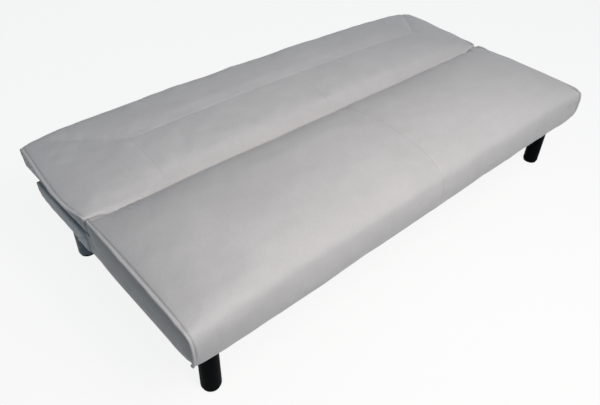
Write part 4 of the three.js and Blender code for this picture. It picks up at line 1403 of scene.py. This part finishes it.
class SOFABED_OT_under_cloths(bpy.types.Operator):
    """Black cloth under the base and under the back section"""
    bl_idname = "sofa_bed.under_cloths"
    bl_label = "Cloths underneath"

    def execute(self, context):
        low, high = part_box("dust_cover")
        cut_outs = []
        x_marks, y_marks = {low[0], high[0]}, {low[1], high[1]}
        for place in ("front", "rear"):
            for name, side in SIDES:
                (x0, y0, _), (x1, y1, _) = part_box(f"{place}_leg_plate_{name}")
                x0, x1, y0, y1 = (
                    x0 - PLATE_CLEARANCE, x1 + PLATE_CLEARANCE, y0 - PLATE_CLEARANCE, y1 + PLATE_CLEARANCE)
                x0, x1 = (low[0] - 1, x1) if side < 0 else (x0, high[0] + 1)
                y0, y1 = (low[1] - 1, y1) if place == "front" else (y0, high[1] + 1)
                cut_outs.append((x0, x1, y0, y1))
                x_marks |= {x for x in (x0, x1) if low[0] < x < high[0]}
                y_marks |= {y for y in (y0, y1) if low[1] < y < high[1]}
        points, faces = sagging_cloth(
            lines_between(x_marks), lines_between(y_marks), cut_outs, high[2], DUST_CLOTH_SAG,
            (low[0], 0.0, high[0]), (low[1], DUST_CLOTH_HOLD_Y, high[1]))
        cloth = make_piece("dust_cloth", points, faces, "lining cloth", "base",
                           ["dust_cover"])
        low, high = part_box("back_lining")
        points, faces = sagging_cloth(
            lines_between({low[0], high[0]}), lines_between({low[1], high[1]}), (), high[2], LINING_SAG,
            (low[0], 0.0, high[0]), (low[1], high[1]))
        cloth = make_piece("back_lining_cloth", points, faces, "lining cloth", "back",
                           ["back_lining"])
        return {"FINISHED"}


# The pawl springs: their turns, points of each, how much of the end turns lies flat, and the share
# of the rise that eases in and out

SPRING_TURNS = 6
SPRING_TURN_POINTS = 20
SPRING_EASE = 0.12
SPRING_FLAT_TURNS = 0.8


class SOFABED_OT_pawl_springs(bpy.types.Operator):
    """Round wire springs that the pawls press as they lift"""
    bl_idname = "sofa_bed.pawl_springs"
    bl_label = "Pawl springs"

    def execute(self, context):
        wire = sizes().spring_wire
        for name, side in SIDES:
            low, high = (np.array(corner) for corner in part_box(f"hinge_pawl_spring_{name}"))
            middle = (low + high) / 2
            turn = np.linspace(0, SPRING_TURNS, SPRING_TURNS * SPRING_TURN_POINTS + 1)
            start, end = SPRING_FLAT_TURNS / 2, SPRING_TURNS - SPRING_FLAT_TURNS / 2
            rise = SPRING_EASE * fade(turn, start, end)
            rise += (1 - SPRING_EASE) * np.clip((turn - start) / (end - start), 0, 1)
            radius = (high[0] - low[0]) / 2 - wire
            path = np.column_stack([
                middle[0] + side * radius * np.cos(2 * math.pi * turn),
                middle[1] + radius * np.sin(2 * math.pi * turn),
                low[2] + wire + rise * (high[2] - low[2] - 2 * wire),
            ])
            points, faces = rope(path, wire, sides=8)
            spring = make_piece(f"pawl_spring_{name}", points, faces, "spring steel", "base",
                                [f"hinge_pawl_spring_{name}"])
            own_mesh(spring)
        return {"FINISHED"}


class SOFABED_OT_frame_finishes(bpy.types.Operator):
    """Wood, board and metal of the parts under the covers"""
    bl_idname = "sofa_bed.frame_finishes"
    bl_label = "Frame finishes"

    def execute(self, context):
        def pairs(*names):
            """The left and the right one of each."""
            return [f"{name}_{side}" for name in names for side, _ in SIDES]

        refinish(
            ["seat_front_rail", "seat_rear_rail", "rear_frame_rail", "back_front_rail", "back_rear_rail"],
            "timber along")
        refinish(
            ["seat_centre_rail", "back_centre_stile",
             *pairs("seat_side_rail", "rear_frame_side", "back_side_rail")],
            "timber across")
        refinish(pairs("seat_leg_block"), "timber block")
        refinish(["seat_deck"], "plywood")
        refinish(["rear_frame_board", "back_board"], "hardboard")
        refinish(pairs("hinge_base_plate", "hinge_arm"), "zinc plate")
        bolts = [f"{name}_{i}" for name in pairs("hinge_base_bolt", "hinge_arm_bolt") for i in (1, 2)]
        refinish([*pairs("hinge_rivet", "hinge_pawl"), *bolts], "black steel")
        return {"FINISHED"}


# The lamps: place, width and power of each, with the colour and the aim that they share

LAMPS = (
    ("key lamp", (-0.10, -1.10, 1.95), 0.9, 12.6),
    ("front lamp", (-0.46, -2.20, 2.33), 1.2, 46.0),
)
LAMP_TINT = (1.0, 0.925, 0.86)
LAMP_AIM = (0.1, -0.1, 0.3)

# The surroundings' light, which is bluish and grows from the rear to the front, and the floor,
# which lights the bed with the first tone and is seen in the second, drawn on towards white

SKY_COLOUR = (0.56, 0.80, 1.0)
SKY_STRENGTHS = (0.04, 0.38)
FLOOR_HALF = 30
FLOOR_TONES = (0.4, 0.9)
FLOOR_WHITE = 0.88

# The camera: millimetres of its sensor and lens, its place in metres, and the directions of its
# right, top and back

CAMERA_SENSOR = 36.0
CAMERA_LENS = 33.523
CAMERA_PLACE = (-1.187, -1.080, 1.232)
CAMERA_RIGHT = (0.73690848, -0.67538573, 0.02863578)
CAMERA_UP = (0.40393636, 0.47390776, 0.78246204)
CAMERA_BACK = (-0.54203442, -0.56503588, 0.6220395)


def soft_lamp(name, place, width, power):
    """A square lamp that is aimed at the bed."""
    lamp = bpy.data.lights.new(name, "AREA")
    lamp.shape = "RECTANGLE"
    lamp.size = lamp.size_y = width
    lamp.energy = power
    lamp.color = LAMP_TINT
    held = bpy.data.objects.new(name, lamp)
    held.location = place
    held.rotation_euler = (Vector(LAMP_AIM) - Vector(place)).to_track_quat("-Z", "Y").to_euler()
    bpy.context.scene.collection.objects.link(held)


class SOFABED_OT_stage(bpy.types.Operator):
    """Pale floor, soft lamps, white surroundings and the camera"""
    bl_idname = "sofa_bed.stage"
    bl_label = "Stage"

    def execute(self, context):
        scene = context.scene
        floor = bpy.data.meshes.new("floor")
        corners = ((-1, -1), (1, -1), (1, 1), (-1, 1))
        floor.from_pydata([(x * FLOOR_HALF, y * FLOOR_HALF, 0) for x, y in corners], [], [(0, 1, 2, 3)])
        floor_piece = bpy.data.objects.new("floor", floor)
        scene.collection.objects.link(floor_piece)
        material = bpy.data.materials.new("floor")
        floor.materials.append(material)
        nodes = Nodes(material)
        shader = nodes.tree.nodes["Principled BSDF"]
        shader.inputs["Roughness"].default_value = 1.0
        shader.inputs["Specular IOR Level"].default_value = 0.0
        seen = nodes.any_ray("Is Camera Ray", "Is Glossy Ray")
        nodes.link(nodes.spread(seen, 0.0, 1.0, *FLOOR_TONES), shader.inputs["Base Color"])
        share = nodes.node("ShaderNodeMath", operation="MULTIPLY")
        share.inputs[1].default_value = FLOOR_WHITE
        nodes.link(seen, share.inputs[0])
        white = nodes.node("ShaderNodeEmission")
        nodes.link(
            nodes.mixed(share.outputs["Value"], shader.outputs["BSDF"], white.outputs["Emission"]),
            nodes.tree.nodes["Material Output"].inputs["Surface"])

        world = bpy.data.worlds.new("surroundings")
        nodes = Nodes(world)
        nodes.tree.nodes.clear()
        soft = nodes.node("ShaderNodeBackground", Color=(*SKY_COLOUR, 1.0))
        place = nodes.node("ShaderNodeTexCoord")
        front = nodes.node("ShaderNodeSeparateXYZ")
        nodes.link(place.outputs["Generated"], front.inputs["Vector"])
        nodes.link(nodes.spread(front.outputs["Y"], 1.0, -1.0, *SKY_STRENGTHS), soft.inputs["Strength"])
        white = nodes.node("ShaderNodeBackground", Color=(1.0, 1.0, 1.0, 1.0), Strength=1.0)
        seen = nodes.any_ray("Is Camera Ray", "Is Glossy Ray", "Is Transmission Ray")
        nodes.link(
            nodes.mixed(seen, soft.outputs["Background"], white.outputs["Background"]),
            nodes.node("ShaderNodeOutputWorld").inputs["Surface"])
        scene.world = world

        for name, place, width, power in LAMPS:
            soft_lamp(name, place, width, power)

        camera = bpy.data.cameras.new("camera")
        camera.sensor_width = CAMERA_SENSOR
        camera.lens = CAMERA_LENS
        holder = bpy.data.objects.new("camera", camera)
        turned = Matrix((CAMERA_RIGHT, CAMERA_UP, CAMERA_BACK)).transposed().to_4x4()
        holder.matrix_world = Matrix.Translation(CAMERA_PLACE) @ turned
        scene.collection.objects.link(holder)
        scene.camera = holder
        scene.view_settings.view_transform = "Standard"
        return {"FINISHED"}


OPERATORS = (
    SOFABED_OT_seat_cover, SOFABED_OT_back_cover, SOFABED_OT_ends, SOFABED_OT_hinge_caps,
    SOFABED_OT_piping, SOFABED_OT_rear_frame_cover, SOFABED_OT_legs, SOFABED_OT_under_cloths,
    SOFABED_OT_pawl_springs, SOFABED_OT_frame_finishes, SOFABED_OT_stage,
)


class SOFABED_PT_panel(bpy.types.Panel):
    """The pieces and settings of the sofa bed"""
    bl_idname = "SOFABED_PT_panel"
    bl_label = "Sofa bed"
    bl_space_type = "VIEW_3D"
    bl_region_type = "UI"
    bl_category = "Sofa bed"

    def draw(self, context):
        layout = self.layout
        for operator in OPERATORS:
            layout.operator(operator.bl_idname)
        for group in (context.scene.sofa_bed_sizes, context.scene.sofa_bed_colours):
            box = layout.box()
            for name in group.__annotations__:
                box.prop(group, name)


CLASSES = (SofaBedSizes, SofaBedColours, *OPERATORS, SOFABED_PT_panel)


def register():
    for each in CLASSES:
        bpy.utils.register_class(each)
    bpy.types.Scene.sofa_bed_sizes = bpy.props.PointerProperty(type=SofaBedSizes)
    bpy.types.Scene.sofa_bed_colours = bpy.props.PointerProperty(type=SofaBedColours)


def unregister():
    del bpy.types.Scene.sofa_bed_colours
    del bpy.types.Scene.sofa_bed_sizes
    for each in reversed(CLASSES):
        bpy.utils.unregister_class(each)


def main():
    register()
    for operator in OPERATORS:
        group, name = operator.bl_idname.split(".")
        getattr(getattr(bpy.ops, group), name)()


if __name__ == "__main__":
    main()
